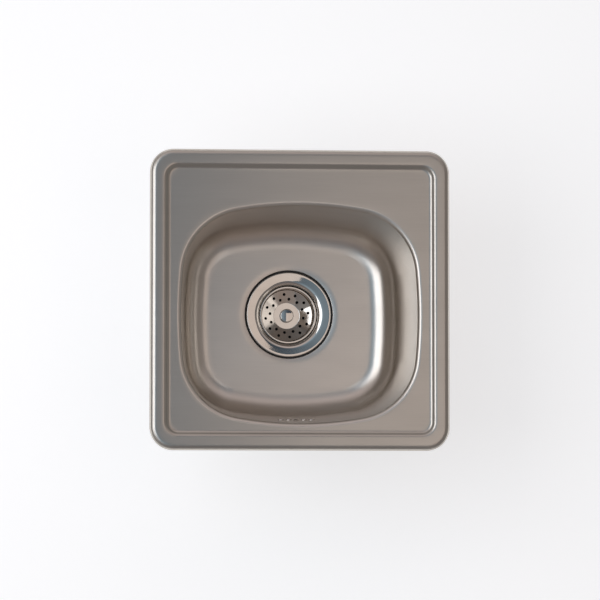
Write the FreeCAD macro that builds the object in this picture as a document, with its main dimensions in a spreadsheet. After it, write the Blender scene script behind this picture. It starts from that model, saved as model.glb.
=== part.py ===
import FreeCAD, Part
import math
import os
import Sketcher

# Single bowl kitchen sink for setting into a worktop, with a basket waste and an overflow.
# Frame: origin at the centre of the rim's outline on the worktop plane, +X to the right,
# +Y to the back, +Z up. Lengths in millimetres, angles in degrees.

SIZES = {
    # Pressed sheet
    "sheet": 0.8,
    "rim_corner": 30,
    "rim_height": 8,
    "rim_roll": 6.5,
    "step_inset": 21.3,
    "step_drop": 4.5,
    "step_bend": 6,
    "step_corner": 15,
    # Bowl: outline at the deck, wall and floor
    "bowl_width": 310.5,
    "bowl_length": 285.5,
    "ledge_side": 34.75,
    "ledge_front": 29.05,
    "ledge_back": 65.45,
    "side_bow": 600,
    "end_bow": 450,
    "bowl_corner": 88,
    "bowl_depth": 150,
    "top_roll": 6,
    "wall_draft": 5.8,
    "floor_bend": 32,
    "dish_run": 8.5,
    "dish_drop": 1.6,
    "recess_gap": 1.5,
    "recess_slant": 0.5,
    "recess_drop": 2.4,
    "waste_back": 8.4,
    "waste_hole": 45,
    # Strip under the rim
    "seal_inset": 6.8,
    "seal_width": 3.6,
    # Rails welded under the rim
    "rail_length": 250,
    "rail_inset": 10.6,
    "rail_steel": 1,
    "rail_flange": 6,
    "rail_drop": 19,
    "rail_shelf": 14,
    # Clips
    "clip_spread": 200,
    "clip_inset": 24.6,
    "bolt_radius": 3,
    "bolt_head_radius": 5.4,
    "bolt_head_height": 4,
    "bolt_length": 50,
    "hole_gap": 0.3,
    "thread_gap": 0.05,
    "running_gap": 0.3,
    "claw_drop": 46,
    "claw_width": 14,
    "claw_steel": 2,
    "claw_reach": 22,
    "claw_tooth": 5,
    "nut_height": 7,
    "nut_top_radius": 6,
    "nut_foot_radius": 4.8,
    "wing_reach": 12,
    "wing_root": 4,
    "wing_fall": 10.5,
    "wing_shoulder": 1.5,
    "wing_tip": 3.5,
    "wing_thickness": 1.8,
    # Pads on the side walls
    "pad_glue": 0.3,
    "pad_thickness": 2,
    "pad_top": 40,
    "pad_foot": 112,
    "pad_length": 120,
    # Waste cup
    "cup_sheet": 1,
    "lip_radius": 46.5,
    "flange_width": 9.5,
    "flange_rise": 1.7,
    "flange_slope": 5,
    "lip_bend": 15,
    "lip_tilt": 31,
    "throat_bend": 4,
    "seat_radius": 35.6,
    "seat_depth": 36,
    "seat_fall": 4,
    "well_radius": 28.5,
    "well_depth": 46,
    "cup_slot_count": 6,
    "cup_slot_radius": 4.5,
    "cup_slot_place": 17,
    # Seals of the waste
    "flange_seal_thickness": 1,
    "flange_seal_clear": 3,
    "flange_seal_inset": 1.5,
    "gasket_thickness": 2.5,
    # Waste body
    "body_wall": 3,
    "body_flange_thickness": 4,
    "body_bore": 43,
    "body_foot_bore": 41,
    "body_depth": 58,
    "funnel_height": 24,
    "outlet_radius": 23.9,
    "outlet_wall": 4.4,
    "outlet_length": 30,
    "hub_radius": 9,
    "hub_height": 24,
    "hub_shoulder": 3,
    "rib_thickness": 3,
    "rib_fall": 3,
    "inlet_depth": 32,
    # Screw that clamps the cup
    "screw_radius": 3,
    "screw_head_radius": 5.5,
    "screw_head_height": 2.6,
    "screw_length": 24,
    "screw_slot_width": 1.4,
    "screw_slot_depth": 1.3,
    "insert_radius": 5,
    "insert_height": 12,
    # Basket
    "dish_sheet": 0.7,
    "dish_rim": 37.2,
    "dish_rim_depth": 7,
    "dish_rim_width": 2.6,
    "dish_wall_foot": 33.6,
    "dish_wall_depth": 21,
    "dish_cone_foot": 17,
    "dish_cone_depth": 29,
    "dish_hole": 1.9,
    "outer_holes_place": 28,
    "inner_holes_place": 22,
    "dish_hole_count": 12,
    "outer_holes_turn": 7.5,
    "inner_holes_turn": 22.5,
    "knob_radius": 8.9,
    "knob_height": 7,
    "knob_neck": 6,
    "knob_neck_height": 1.4,
    "knob_edge": 0.8,
    "knob_bend": 1.6,
    "knob_dome": 0.5,
    "stem_radius": 4,
    "stem_collar": 7,
    "stopper_thickness": 4,
    "stopper_edge": 1.2,
    "stopper_lip": 1.5,
    "retainer_radius": 8,
    "retainer_height": 2,
    # Overflow
    "overflow_depth": 52,
    "overflow_hole": 3.1,
    "overflow_pitch": 9.8,
    "head_top": 37,
    "head_foot": 68,
    "head_width": 64,
    "head_body": 20,
    "head_wall": 2,
    "overflow_gasket_thickness": 2,
    "window_margin": 5,
    "post_radius": 4,
    "small_screw_radius": 1.6,
    "small_head_radius": 4.4,
    "small_head_height": 1.9,
    "small_screw_length": 14,
    "small_slot_width": 0.9,
    "small_slot_depth": 0.9,
    "socket_radius": 10.8,
    "socket_length": 20,
    "socket_place": 12.5,
    "pipe_radius": 8,
    "pipe_wall": 1.5,
    "pipe_bend": 30,
    "pipe_entry": 14,
    "pipe_gap": 0.3,
    "cone_height": 4,
    "ring_height": 15,
    "ring_wall": 2.5,
    "ring_lip": 2.5,
    # One overrun for every cut
    "overrun": 1,
}

OVERFLOW_HOLE_STEPS = (-2, -1, 0, 1, 2)
SIDE_NAMES = ("right", "back", "left", "front")
QUARTER = 90
HALF_TURN = 180
FULL_TURN = 360
HEX_SIDES = 6
RIB_TURNS = (45, 135)
DEGREES_PER_RADIAN = HALF_TURN / math.pi
# Turns an upright sketch so that its first axis points to the front
TO_FRONT_AXIS = (1, -1, -1)
TO_FRONT_TURN = 120

doc = FreeCAD.newDocument("single_bowl_sink")


class Size:
    """A number together with the sheet expression that gives it."""

    def __init__(self, value, text):
        self.value = float(value)
        self.text = text

    def __add__(self, other):
        other = as_size(other)
        return Size(self.value + other.value, f"({self.text} + {other.text})")

    def __sub__(self, other):
        other = as_size(other)
        return Size(self.value - other.value, f"({self.text} - {other.text})")

    def __rsub__(self, other):
        return as_size(other) - self

    def __mul__(self, other):
        other = as_size(other)
        return Size(self.value * other.value, f"({self.text} * {other.text})")

    def __rmul__(self, other):
        return as_size(other) * self

    def __truediv__(self, other):
        other = as_size(other)
        return Size(self.value / other.value, f"({self.text} / {other.text})")

    def __neg__(self):
        return Size(-self.value, f"(0 - {self.text})")


def as_size(number):
    if isinstance(number, Size):
        return number
    return Size(number, repr(float(number)))


def sine(angle):
    return Size(math.sin(math.radians(angle.value)), f"sin({angle.text})")


def cosine(angle):
    return Size(math.cos(math.radians(angle.value)), f"cos({angle.text})")


def tangent(angle):
    return Size(math.tan(math.radians(angle.value)), f"tan({angle.text})")


def root(number):
    return Size(math.sqrt(number.value), f"sqrt({number.text})")


def make_sheet():
    sheet = doc.addObject("Spreadsheet::Sheet", "Sizes")
    for row, (name, number) in enumerate(SIZES.items(), 1):
        sheet.set(f"A{row}", name)
        sheet.set(f"B{row}", str(number))
        sheet.setAlias(f"B{row}", name)
    doc.recompute()
    return sheet


make_sheet()


class Named:
    """The sizes of the sheet, read as S.name."""

    def __getattr__(self, name):
        return Size(SIZES[name], f"Sizes.{name}")


S = Named()
ZERO = as_size(0)


def bind(item, path, size):
    """Tie one property of an object to the sheet."""
    if isinstance(size, Size):
        item.setExpression(path, size.text)


def place(item, at=(ZERO, ZERO, ZERO), axis=(0, 0, 1), turn=ZERO):
    """Put an object at a point, turned about an axis by an angle in degrees."""
    turn = as_size(turn)
    spot = [as_size(c) for c in at]
    item.Placement = FreeCAD.Placement(
        FreeCAD.Vector(*(c.value for c in spot)),
        FreeCAD.Rotation(FreeCAD.Vector(*axis), turn.value),
    )
    for letter, c in zip("xyz", spot):
        bind(item, f"Placement.Base.{letter}", c)
    if "Sizes" in turn.text:
        bind(item, "Placement.Rotation.Angle", turn)
    return item


# Drawing: an outline is a start point and the lines and arcs that follow it.

def line(x, y):
    """Straight to (x, y)."""
    return (as_size(x), as_size(y), None, 0)


def arc(x, y, radius, side):
    """Round to (x, y) with a radius; side is 1 when turning left and -1 when turning right."""
    return (as_size(x), as_size(y), as_size(radius), side)


def add_outline(sketch, start, moves, closed=True):
    """Draw one outline in a sketch and tie each of its points and radii to the sheet."""
    first = (as_size(start[0]), as_size(start[1]))
    here = first
    ends = []
    for x, y, radius, side in moves:
        p = FreeCAD.Vector(here[0].value, here[1].value, 0)
        q = FreeCAD.Vector(x.value, y.value, 0)
        if radius is None:
            geo = sketch.addGeometry(Part.LineSegment(p, q))
            ends.append((geo, 1, 2))
        else:
            chord = q - p
            left = FreeCAD.Vector(-chord.y, chord.x, 0).normalize()
            rise = math.sqrt(max(radius.value ** 2 - (chord.Length / 2) ** 2, 0))
            centre = (p + q) / 2 + left * rise * side
            a, b = (p, q) if side > 0 else (q, p)
            circle = Part.Circle(centre, FreeCAD.Vector(0, 0, 1), radius.value)
            low = math.atan2(a.y - centre.y, a.x - centre.x)
            high = math.atan2(b.y - centre.y, b.x - centre.x)
            geo = sketch.addGeometry(Part.ArcOfCircle(circle, low, high))
            ends.append((geo, 1, 2) if side > 0 else (geo, 2, 1))
            number = sketch.addConstraint(Sketcher.Constraint("Radius", geo, radius.value))
            bind(sketch, f"Constraints[{number}]", radius)
        here = (x, y)
    corners = [first] + [(x, y) for x, y, _, _ in moves[:-1]]
    for i, (geo, begin, _) in enumerate(ends):
        before, _, finish = ends[i - 1]
        if i or closed:
            sketch.addConstraint(Sketcher.Constraint("Coincident", before, finish, geo, begin))
        pin_point(sketch, geo, begin, corners[i])
    if not closed:
        geo, _, finish = ends[-1]
        pin_point(sketch, geo, finish, here)


def pin_point(sketch, geo, end, point):
    """Tie a point of a sketch to its distances from the sketch's origin."""
    for kind, cross_axis, size in (("DistanceX", -2, point[0]), ("DistanceY", -1, point[1])):
        if size.text == ZERO.text:
            sketch.addConstraint(Sketcher.Constraint("PointOnObject", geo, end, cross_axis))
        else:
            number = sketch.addConstraint(Sketcher.Constraint(kind, -1, 1, geo, end, size.value))
            bind(sketch, f"Constraints[{number}]", size)


def add_circle(sketch, radius, x=ZERO, y=ZERO):
    centre = (as_size(x), as_size(y))
    at = FreeCAD.Vector(centre[0].value, centre[1].value, 0)
    geo = sketch.addGeometry(Part.Circle(at, FreeCAD.Vector(0, 0, 1), radius.value))
    number = sketch.addConstraint(Sketcher.Constraint("Radius", geo, radius.value))
    bind(sketch, f"Constraints[{number}]", radius)
    pin_point(sketch, geo, 3, centre)


def body_sketch(body, role, name, offset=ZERO):
    """A sketch on one of a body's own origin planes, or at an offset from it."""
    plane = [f for f in body.Origin.OriginFeatures if f.Role == role][0]
    sketch = body.newObject("Sketcher::SketchObject", f"{body.Name}_{name}")
    sketch.AttachmentSupport = (plane, [""])
    sketch.MapMode = "FlatFace"
    sketch.AttachmentOffset = FreeCAD.Placement(
        FreeCAD.Vector(0, 0, offset.value), FreeCAD.Rotation())
    bind(sketch, "AttachmentOffset.Base.z", offset)
    return sketch


def free_sketch(name, upright=False, at=(ZERO, ZERO, ZERO)):
    """A sketch of its own; an upright one has its second axis along Z."""
    sketch = doc.addObject("Sketcher::SketchObject", name)
    place(sketch, at, (1, 0, 0), QUARTER if upright else 0)
    return sketch


def new_body(label):
    body = doc.addObject("PartDesign::Body", label)
    body.Label = label
    return body


def turned(body, start, moves, name="section", angle=None, hollow=False):
    """Turn an outline in (radius, height) about the body's Z axis, to add it or to hollow it out."""
    sketch = body_sketch(body, "XZ_Plane", name)
    add_outline(sketch, start, moves)
    kind = "PartDesign::Groove" if hollow else "PartDesign::Revolution"
    feature = body.newObject(kind, f"{sketch.Name}_turned")
    feature.Profile = sketch
    feature.ReferenceAxis = (sketch, ["V_Axis"])
    if angle is None:
        feature.Angle = FULL_TURN
    else:
        feature.Midplane = True
        feature.Angle = angle.value
        bind(feature, "Angle", angle)
    return feature


def turned_body(label, start, moves, at=(ZERO, ZERO, ZERO)):
    """A whole body that is one outline turned about its Z axis."""
    body = new_body(label)
    turned(body, start, moves)
    return place(body, at)


def padded(body, sketch, length, both_ways=True):
    """Pad a body's sketch, half to each side or all along the sketch's normal."""
    feature = body.newObject("PartDesign::Pad", f"{sketch.Name}_pad")
    feature.Profile = sketch
    if both_ways:
        feature.SideType = "Symmetric"
    feature.Length = length.value
    bind(feature, "Length", length)
    return feature


def cut_through(body, sketch, both_ways=True):
    """Pocket a body's sketch right through, both ways or only along the sketch's normal."""
    feature = body.newObject("PartDesign::Pocket", f"{sketch.Name}_cut")
    feature.Profile = sketch
    feature.Type = "ThroughAll"
    if both_ways:
        feature.SideType = "Symmetric"
    else:
        feature.Reversed = True
    return feature


def ringed(body, feature, count):
    """Repeat a feature round the body's Z axis."""
    axis = [f for f in body.Origin.OriginFeatures if f.Role == "Z_Axis"][0]
    pattern = body.newObject("PartDesign::PolarPattern", f"{feature.Name}_ring")
    pattern.Originals = [feature]
    pattern.Axis = (axis, [""])
    pattern.Angle = FULL_TURN
    pattern.Occurrences = int(count.value)
    bind(pattern, "Occurrences", count)
    body.Tip = pattern
    return pattern


def cylinder(name, radius, height, at=(ZERO, ZERO, ZERO), axis=(0, 0, 1), turn=ZERO):
    item = doc.addObject("Part::Cylinder", name)
    bind(item, "Radius", radius)
    bind(item, "Height", height)
    item.Radius = radius.value
    item.Height = height.value
    return place(item, at, axis, turn)


def fused(name, items):
    item = doc.addObject("Part::MultiFuse", name)
    item.Shapes = items
    item.Refine = True
    return item


def cut(name, base, tool):
    item = doc.addObject("Part::Cut", name)
    item.Base = base
    item.Tool = tool
    return item


# The rim's size follows from the bowl and the ledges round it.

RIM_WIDTH = S.bowl_width + 2 * S.ledge_side
RIM_LENGTH = S.bowl_length + S.ledge_front + S.ledge_back

# Heights of the sheet's levels.

RIM_TOP = S.rim_height
DECK_TOP = S.rim_height - S.step_drop
FLOOR_TOP = DECK_TOP - S.bowl_depth
RECESS_TOP = FLOOR_TOP - S.dish_drop - S.recess_drop
RECESS_UNDER = RECESS_TOP - S.sheet

# The waste's flange, the recess that takes it, and the dish round that.

FLANGE_RADIUS = S.lip_radius + S.flange_width
RECESS_RADIUS = FLANGE_RADIUS + S.recess_gap
DISH_RADIUS = RECESS_RADIUS + S.dish_run

# Runs and falls of the sheet's bends.

STEP_RUN = root(4 * S.step_bend * S.step_drop - S.step_drop * S.step_drop)
ROLL_FALL = S.top_roll * (1 - sine(S.wall_draft))
BEND_FALL = S.floor_bend * (1 - sine(S.wall_draft))
WALL_FALL = S.bowl_depth - ROLL_FALL - BEND_FALL
ROLL_RUN = S.top_roll * cosine(S.wall_draft)
BEND_RUN = S.floor_bend * cosine(S.wall_draft)
WALL_RUN = WALL_FALL * tangent(S.wall_draft)
BOWL_RUN = ROLL_RUN + WALL_RUN + BEND_RUN
BOWL_Y = (S.ledge_front - S.ledge_back) / 2
WASTE_Y = BOWL_Y + S.waste_back


def rounded_rectangle(half_x, half_y, corner):
    """Outline of a rectangle with round corners, starting at the middle of its right side."""
    ex, ey = half_x - corner, half_y - corner
    start = (half_x, ZERO)
    moves = [
        line(half_x, ey), arc(ex, half_y, corner, 1),
        line(-ex, half_y), arc(-half_x, ey, corner, 1),
        line(-half_x, -ey), arc(-ex, -half_y, corner, 1),
        line(ex, -half_y), arc(half_x, -ey, corner, 1),
        line(half_x, ZERO),
    ]
    return start, moves


def rim_outline(inset):
    """The rim's outline moved inwards by an inset."""
    return rounded_rectangle(
        RIM_WIDTH / 2 - inset, RIM_LENGTH / 2 - inset, S.rim_corner - inset)


def step_outline(shift):
    """The step's centre line moved outwards by a shift."""
    return rounded_rectangle(
        RIM_WIDTH / 2 - S.step_inset + shift, RIM_LENGTH / 2 - S.step_inset + shift,
        S.step_corner + shift)


def add_bowl_outline(sketch, inset):
    """Eight tangent arcs: two bowed sides, two bowed ends and four corners, moved inwards."""
    half_x, half_y = S.bowl_width / 2, S.bowl_length / 2
    side, end, corner = S.side_bow - inset, S.end_bow - inset, S.bowl_corner - inset
    side_x, end_y = half_x - S.side_bow, half_y - S.end_bow
    # the corner arc's centre lies a side radius less a corner radius from each bow's centre
    from_side, from_end = side.value - corner.value, end.value - corner.value
    apart = math.hypot(side_x.value, end_y.value)
    along = (from_side ** 2 - from_end ** 2 + apart ** 2) / (2 * apart)
    across = math.sqrt(from_side ** 2 - along ** 2)
    ux, uy = -side_x.value / apart, end_y.value / apart
    cx = side_x.value + along * ux - across * uy
    cy = along * uy + across * ux
    side_tilt = math.atan2(cy, cx - side_x.value)
    end_tilt = math.atan2(cy - end_y.value, cx)
    half_turn = math.pi

    def add_arc(x, y, radius, low, high):
        circle = Part.Circle(FreeCAD.Vector(x, y, 0), FreeCAD.Vector(0, 0, 1), radius.value)
        geo = sketch.addGeometry(Part.ArcOfCircle(circle, low, high))
        number = sketch.addConstraint(Sketcher.Constraint("Radius", geo, radius.value))
        bind(sketch, f"Constraints[{number}]", radius)
        return geo

    right_up = add_arc(side_x.value, 0, side, 0, side_tilt)
    back_right = add_arc(cx, cy, corner, side_tilt, end_tilt)
    back = add_arc(0, end_y.value, end, end_tilt, half_turn - end_tilt)
    back_left = add_arc(-cx, cy, corner, half_turn - end_tilt, half_turn - side_tilt)
    left = add_arc(-side_x.value, 0, side, half_turn - side_tilt, half_turn + side_tilt)
    front_left = add_arc(-cx, -cy, corner, half_turn + side_tilt, half_turn + end_tilt)
    front = add_arc(0, -end_y.value, end, half_turn + end_tilt, -end_tilt)
    front_right = add_arc(cx, -cy, corner, -end_tilt, -side_tilt)
    right_down = add_arc(side_x.value, 0, side, -side_tilt, 0)
    ring = [right_up, back_right, back, back_left, left, front_left, front, front_right,
            right_down]
    for one, other in zip(ring[:-1], ring[1:]):
        sketch.addConstraint(Sketcher.Constraint("Tangent", one, 2, other, 1))
    sketch.addConstraint(Sketcher.Constraint("PointOnObject", right_up, 1, -1))
    sketch.addConstraint(Sketcher.Constraint("PointOnObject", right_down, 2, -1))
    pin_point(sketch, right_up, 3, (side_x, ZERO))
    pin_point(sketch, right_down, 3, (side_x, ZERO))
    pin_point(sketch, left, 3, (-side_x, ZERO))
    pin_point(sketch, back, 3, (ZERO, end_y))
    pin_point(sketch, front, 3, (ZERO, -end_y))


def bowl_sketch(name, inset, height):
    sketch = free_sketch(name, at=(ZERO, BOWL_Y, height))
    add_bowl_outline(sketch, inset)
    return sketch


def rim_sketch(name, outlines, height):
    sketch = free_sketch(name, at=(ZERO, ZERO, height))
    for start, moves in outlines:
        add_outline(sketch, start, moves)
    return sketch


def swept(name, section, spine):
    item = doc.addObject("Part::Sweep", name)
    item.Sections = [section]
    item.Spine = (spine, [])
    item.Solid = True
    item.Frenet = False
    return item


def plate(name, sketch, thickness):
    """The sheet's thickness hung down from a flat outline."""
    item = doc.addObject("Part::Extrusion", name)
    item.Base = sketch
    item.DirMode = "Custom"
    item.Dir = FreeCAD.Vector(0, 0, -1)
    item.LengthFwd = thickness.value
    bind(item, "LengthFwd", thickness)
    item.Solid = True
    return item


def ring_plate(name, outer, inner, thickness):
    return cut(name, plate(f"{name}_outer", outer, thickness), plate(f"{name}_inner", inner, thickness))


def make_rim_edge():
    """The rim's rolled edge, swept round its outline."""
    right = RIM_WIDTH / 2
    inner_roll = S.rim_roll - S.sheet
    section = free_sketch("rim_edge_section", upright=True)
    add_outline(section, (right, ZERO), [
        line(right, RIM_TOP - S.rim_roll),
        arc(right - S.rim_roll, RIM_TOP, S.rim_roll, 1),
        line(right - S.rim_roll, RIM_TOP - S.sheet),
        arc(right - S.sheet, RIM_TOP - S.rim_roll, inner_roll, -1),
        line(right - S.sheet, ZERO),
        line(right, ZERO),
    ])
    spine = rim_sketch("rim_spine", [rim_outline(ZERO)], ZERO)
    return swept("rim_edge", section, spine)


def make_border():
    """The flat border between the rolled edge and the step."""
    outer = rim_sketch("border_outer", [rim_outline(S.rim_roll)], RIM_TOP)
    inner = rim_sketch("border_inner", [step_outline(STEP_RUN / 2)], RIM_TOP)
    return ring_plate("border", outer, inner, S.sheet)


def make_step():
    """The step down from the border to the deck: two arcs, swept round."""
    middle = RIM_WIDTH / 2 - S.step_inset
    high, low = middle + STEP_RUN / 2, middle - STEP_RUN / 2
    half_drop = S.step_drop / 2
    tight, wide = S.step_bend - S.sheet, S.step_bend
    # half way down, the lower face lies square to the upper one
    lean_x = S.sheet * (STEP_RUN / 2) / S.step_bend
    lean_y = S.sheet * (1 - half_drop / S.step_bend)
    section = free_sketch("step_section", upright=True)
    add_outline(section, (high, RIM_TOP), [
        arc(middle, RIM_TOP - half_drop, wide, 1),
        arc(low, DECK_TOP, wide, -1),
        line(low, DECK_TOP - S.sheet),
        arc(middle + lean_x, RIM_TOP - half_drop - lean_y, wide + S.sheet, 1),
        arc(high, RIM_TOP - S.sheet, tight, -1),
        line(high, RIM_TOP),
    ])
    spine = rim_sketch("step_spine", [step_outline(STEP_RUN / 2)], RIM_TOP)
    return swept("step", section, spine)


def make_deck():
    """The recessed deck between the step and the bowl."""
    outer = rim_sketch("deck_outer", [step_outline(-STEP_RUN / 2)], DECK_TOP)
    inner = bowl_sketch("deck_inner", ZERO, DECK_TOP)
    return ring_plate("deck", outer, inner, S.sheet)


def make_wall():
    """The bowl's rolled top, drafted wall and bend to the floor, swept round its outline."""
    mouth = S.bowl_width / 2
    roll_x, roll_z = mouth - ROLL_RUN, DECK_TOP - ROLL_FALL
    foot_x, foot_z = roll_x - WALL_RUN, roll_z - WALL_FALL
    floor_x = foot_x - BEND_RUN
    away_x, away_z = S.sheet * cosine(S.wall_draft), S.sheet * sine(S.wall_draft)
    section = free_sketch("wall_section", upright=True)
    add_outline(section, (mouth, DECK_TOP), [
        arc(roll_x, roll_z, S.top_roll, 1),
        line(foot_x, foot_z),
        arc(floor_x, FLOOR_TOP, S.floor_bend, -1),
        line(floor_x, FLOOR_TOP - S.sheet),
        arc(foot_x + away_x, foot_z - away_z, S.floor_bend + S.sheet, 1),
        line(roll_x + away_x, roll_z - away_z),
        arc(mouth, DECK_TOP - S.sheet, S.top_roll - S.sheet, -1),
        line(mouth, DECK_TOP),
    ])
    # the section stands at the bowl's own middle, where the outline starts
    place(section, (ZERO, BOWL_Y, ZERO), (1, 0, 0), QUARTER)
    spine = bowl_sketch("wall_spine", ZERO, DECK_TOP)
    return swept("wall", section, spine)


def make_floor():
    """The flat part of the floor, outside the dished part."""
    outer = bowl_sketch("floor_outer", BOWL_RUN, FLOOR_TOP)
    whole = plate("floor_plate", outer, S.sheet)
    hole = cylinder("floor_hole", DISH_RADIUS, S.sheet + 2 * S.overrun,
                    (ZERO, WASTE_Y, FLOOR_TOP - S.sheet - S.overrun))
    return cut("floor", whole, hole)


def spun(name, section):
    """The solid of an upright sketch turned about the waste's axis."""
    item = doc.addObject("Part::Revolution", name)
    item.Source = section
    item.Axis = FreeCAD.Vector(0, 0, 1)
    item.Base = FreeCAD.Vector(0, WASTE_Y.value, 0)
    bind(item, "Base.y", WASTE_Y)
    item.Angle = FULL_TURN
    item.Solid = True
    return item


def make_dish():
    """The floor's fall to the waste and the recess that takes the waste flange."""
    fall = FLOOR_TOP - S.dish_drop
    slant_foot = RECESS_RADIUS - S.recess_slant
    slant = root(S.recess_slant * S.recess_slant + S.recess_drop * S.recess_drop)
    mitre = S.sheet * (slant - S.recess_slant) / S.recess_drop
    section = free_sketch("dish_section", upright=True, at=(ZERO, WASTE_Y, ZERO))
    add_outline(section, (DISH_RADIUS, FLOOR_TOP), [
        line(RECESS_RADIUS, fall),
        line(slant_foot, RECESS_TOP),
        line(S.waste_hole, RECESS_TOP),
        line(S.waste_hole, RECESS_UNDER),
        line(slant_foot + mitre, RECESS_UNDER),
        line(RECESS_RADIUS + mitre, fall - S.sheet),
        line(DISH_RADIUS, FLOOR_TOP - S.sheet),
        line(DISH_RADIUS, FLOOR_TOP),
    ])
    return spun("dish", section)


def wall_inset(depth):
    """How far the wall's inner face lies inside the bowl's mouth at a depth below the deck."""
    return ROLL_RUN + (depth - ROLL_FALL) * tangent(S.wall_draft)


OVERFLOW_Z = DECK_TOP - S.overflow_depth
OVERFLOW_Y = BOWL_Y - S.bowl_length / 2 + wall_inset(S.overflow_depth)
SQUARE_TO_FRONT = ((-1, 0, 0), QUARTER - S.wall_draft)


def wall_cylinder(name, radius, near, far, x=ZERO):
    """A cylinder square to the front wall, between two distances behind its inner face."""
    at = (x, OVERFLOW_Y - far * cosine(S.wall_draft), OVERFLOW_Z - far * sine(S.wall_draft))
    return cylinder(name, radius, far - near, at, *SQUARE_TO_FRONT)


def make_overflow_holes():
    """Five drillings in the front wall; the middle one takes the screw."""
    return fused("overflow_holes", [
        wall_cylinder(f"overflow_hole_{number}", S.overflow_hole, -2 * S.overrun,
                      S.sheet + 2 * S.overrun, steps * S.overflow_pitch)
        for number, steps in enumerate(OVERFLOW_HOLE_STEPS)
    ])


def make_shell():
    """The whole pressed sheet."""
    pieces = [make_rim_edge(), make_border(), make_step(), make_deck(), make_wall(),
              make_floor(), make_dish()]
    whole = fused("pressed_sheet", pieces)
    shell = cut("sink_shell", whole, make_overflow_holes())
    shell.Label = "sink_shell"
    return shell


def make_seal():
    """The foam strip that fills the rim down to the worktop."""
    under = RIM_TOP - S.sheet
    outer = rim_sketch("seal_outer", [rim_outline(S.seal_inset)], under)
    inner = rim_sketch("seal_inner", [rim_outline(S.seal_inset + S.seal_width)], under)
    seal = ring_plate("rim_seal", outer, inner, under)
    seal.Label = "rim_seal"
    return seal


# The four sides: name, quarter turns from +X, and half the rim's reach there.

SIDES = [
    (name, turns, (RIM_LENGTH if turns % 2 else RIM_WIDTH) / 2)
    for turns, name in enumerate(SIDE_NAMES)
]
RAIL_TOP = RIM_TOP - S.sheet
SHELF_TOP = RAIL_TOP - S.rail_drop + S.rail_steel


def make_rail(name, turns, reach):
    """A folded strip: a flange welded under the border, a web and a shelf for the bolts."""
    rail = new_body(f"fixing_rail_{name}")
    edge = reach - S.rail_inset
    web = edge - S.rail_flange
    foot = RAIL_TOP - S.rail_drop
    section = body_sketch(rail, "XZ_Plane", "section")
    add_outline(section, (edge, RAIL_TOP), [
        line(web, RAIL_TOP), line(web, foot + S.rail_steel),
        line(web - S.rail_shelf, foot + S.rail_steel), line(web - S.rail_shelf, foot),
        line(web + S.rail_steel, foot), line(web + S.rail_steel, RAIL_TOP - S.rail_steel),
        line(edge, RAIL_TOP - S.rail_steel), line(edge, RAIL_TOP),
    ])
    padded(rail, section, S.rail_length)
    holes = body_sketch(rail, "XY_Plane", "holes")
    for end in (-1, 1):
        add_circle(holes, S.bolt_radius + S.hole_gap, reach - S.clip_inset, end * S.clip_spread / 2)
    cut_through(rail, holes)
    return place(rail, turn=turns * QUARTER)


def clip_spots():
    """Each clip's bolt axis, the turn of its parked claw and the sense in which it swings out."""
    spots = []
    for _, turns, reach in SIDES:
        out, along = reach - S.clip_inset, S.clip_spread / 2
        for end in (1, -1):
            x, y = out, end * along
            for _ in range(turns):
                x, y = -y, x
            spots.append((x, y, (turns - end) * QUARTER))
    return spots


def make_bolts():
    """The eight bolts, hung by their heads from the rails' shelves."""
    bolts = []
    for number, (x, y, _) in enumerate(clip_spots(), 1):
        shank = cylinder(f"bolt_shank_{number}", S.bolt_radius,
                         S.bolt_length + S.bolt_head_height, (x, y, SHELF_TOP - S.bolt_length))
        head = doc.addObject("Part::Prism", f"bolt_head_{number}")
        head.Polygon = HEX_SIDES
        bind(head, "Circumradius", S.bolt_head_radius)
        bind(head, "Height", S.bolt_head_height)
        place(head, (x, y, SHELF_TOP))
        bolts.append(fused(f"bolt_{number}", [shank, head]))
    group = doc.addObject("Part::Compound", "clip_bolts")
    group.Links = bolts
    return group


def make_claw(number, x, y, turn):
    """A flat arm on the bolt, with an upturned tooth that bites the worktop's underside."""
    claw = new_body(f"clip_claw_{number}")
    half = S.claw_width / 2
    arm = body_sketch(claw, "XY_Plane", "arm")
    add_outline(arm, (ZERO, -half), [
        line(S.claw_reach, -half), line(S.claw_reach, half), line(ZERO, half),
        arc(-half, ZERO, half, 1), arc(ZERO, -half, half, 1),
    ])
    padded(claw, arm, S.claw_steel, both_ways=False)
    tooth = body_sketch(claw, "XY_Plane", "tooth")
    add_outline(tooth, (S.claw_reach - S.claw_steel, -half), [
        line(S.claw_reach, -half), line(S.claw_reach, half),
        line(S.claw_reach - S.claw_steel, half), line(S.claw_reach - S.claw_steel, -half),
    ])
    padded(claw, tooth, S.claw_steel + S.claw_tooth, both_ways=False)
    hole = body_sketch(claw, "XY_Plane", "hole")
    add_circle(hole, S.bolt_radius + S.hole_gap)
    cut_through(claw, hole)
    return place(claw, (x, y, -S.claw_drop - S.claw_steel), turn=turn)


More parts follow.
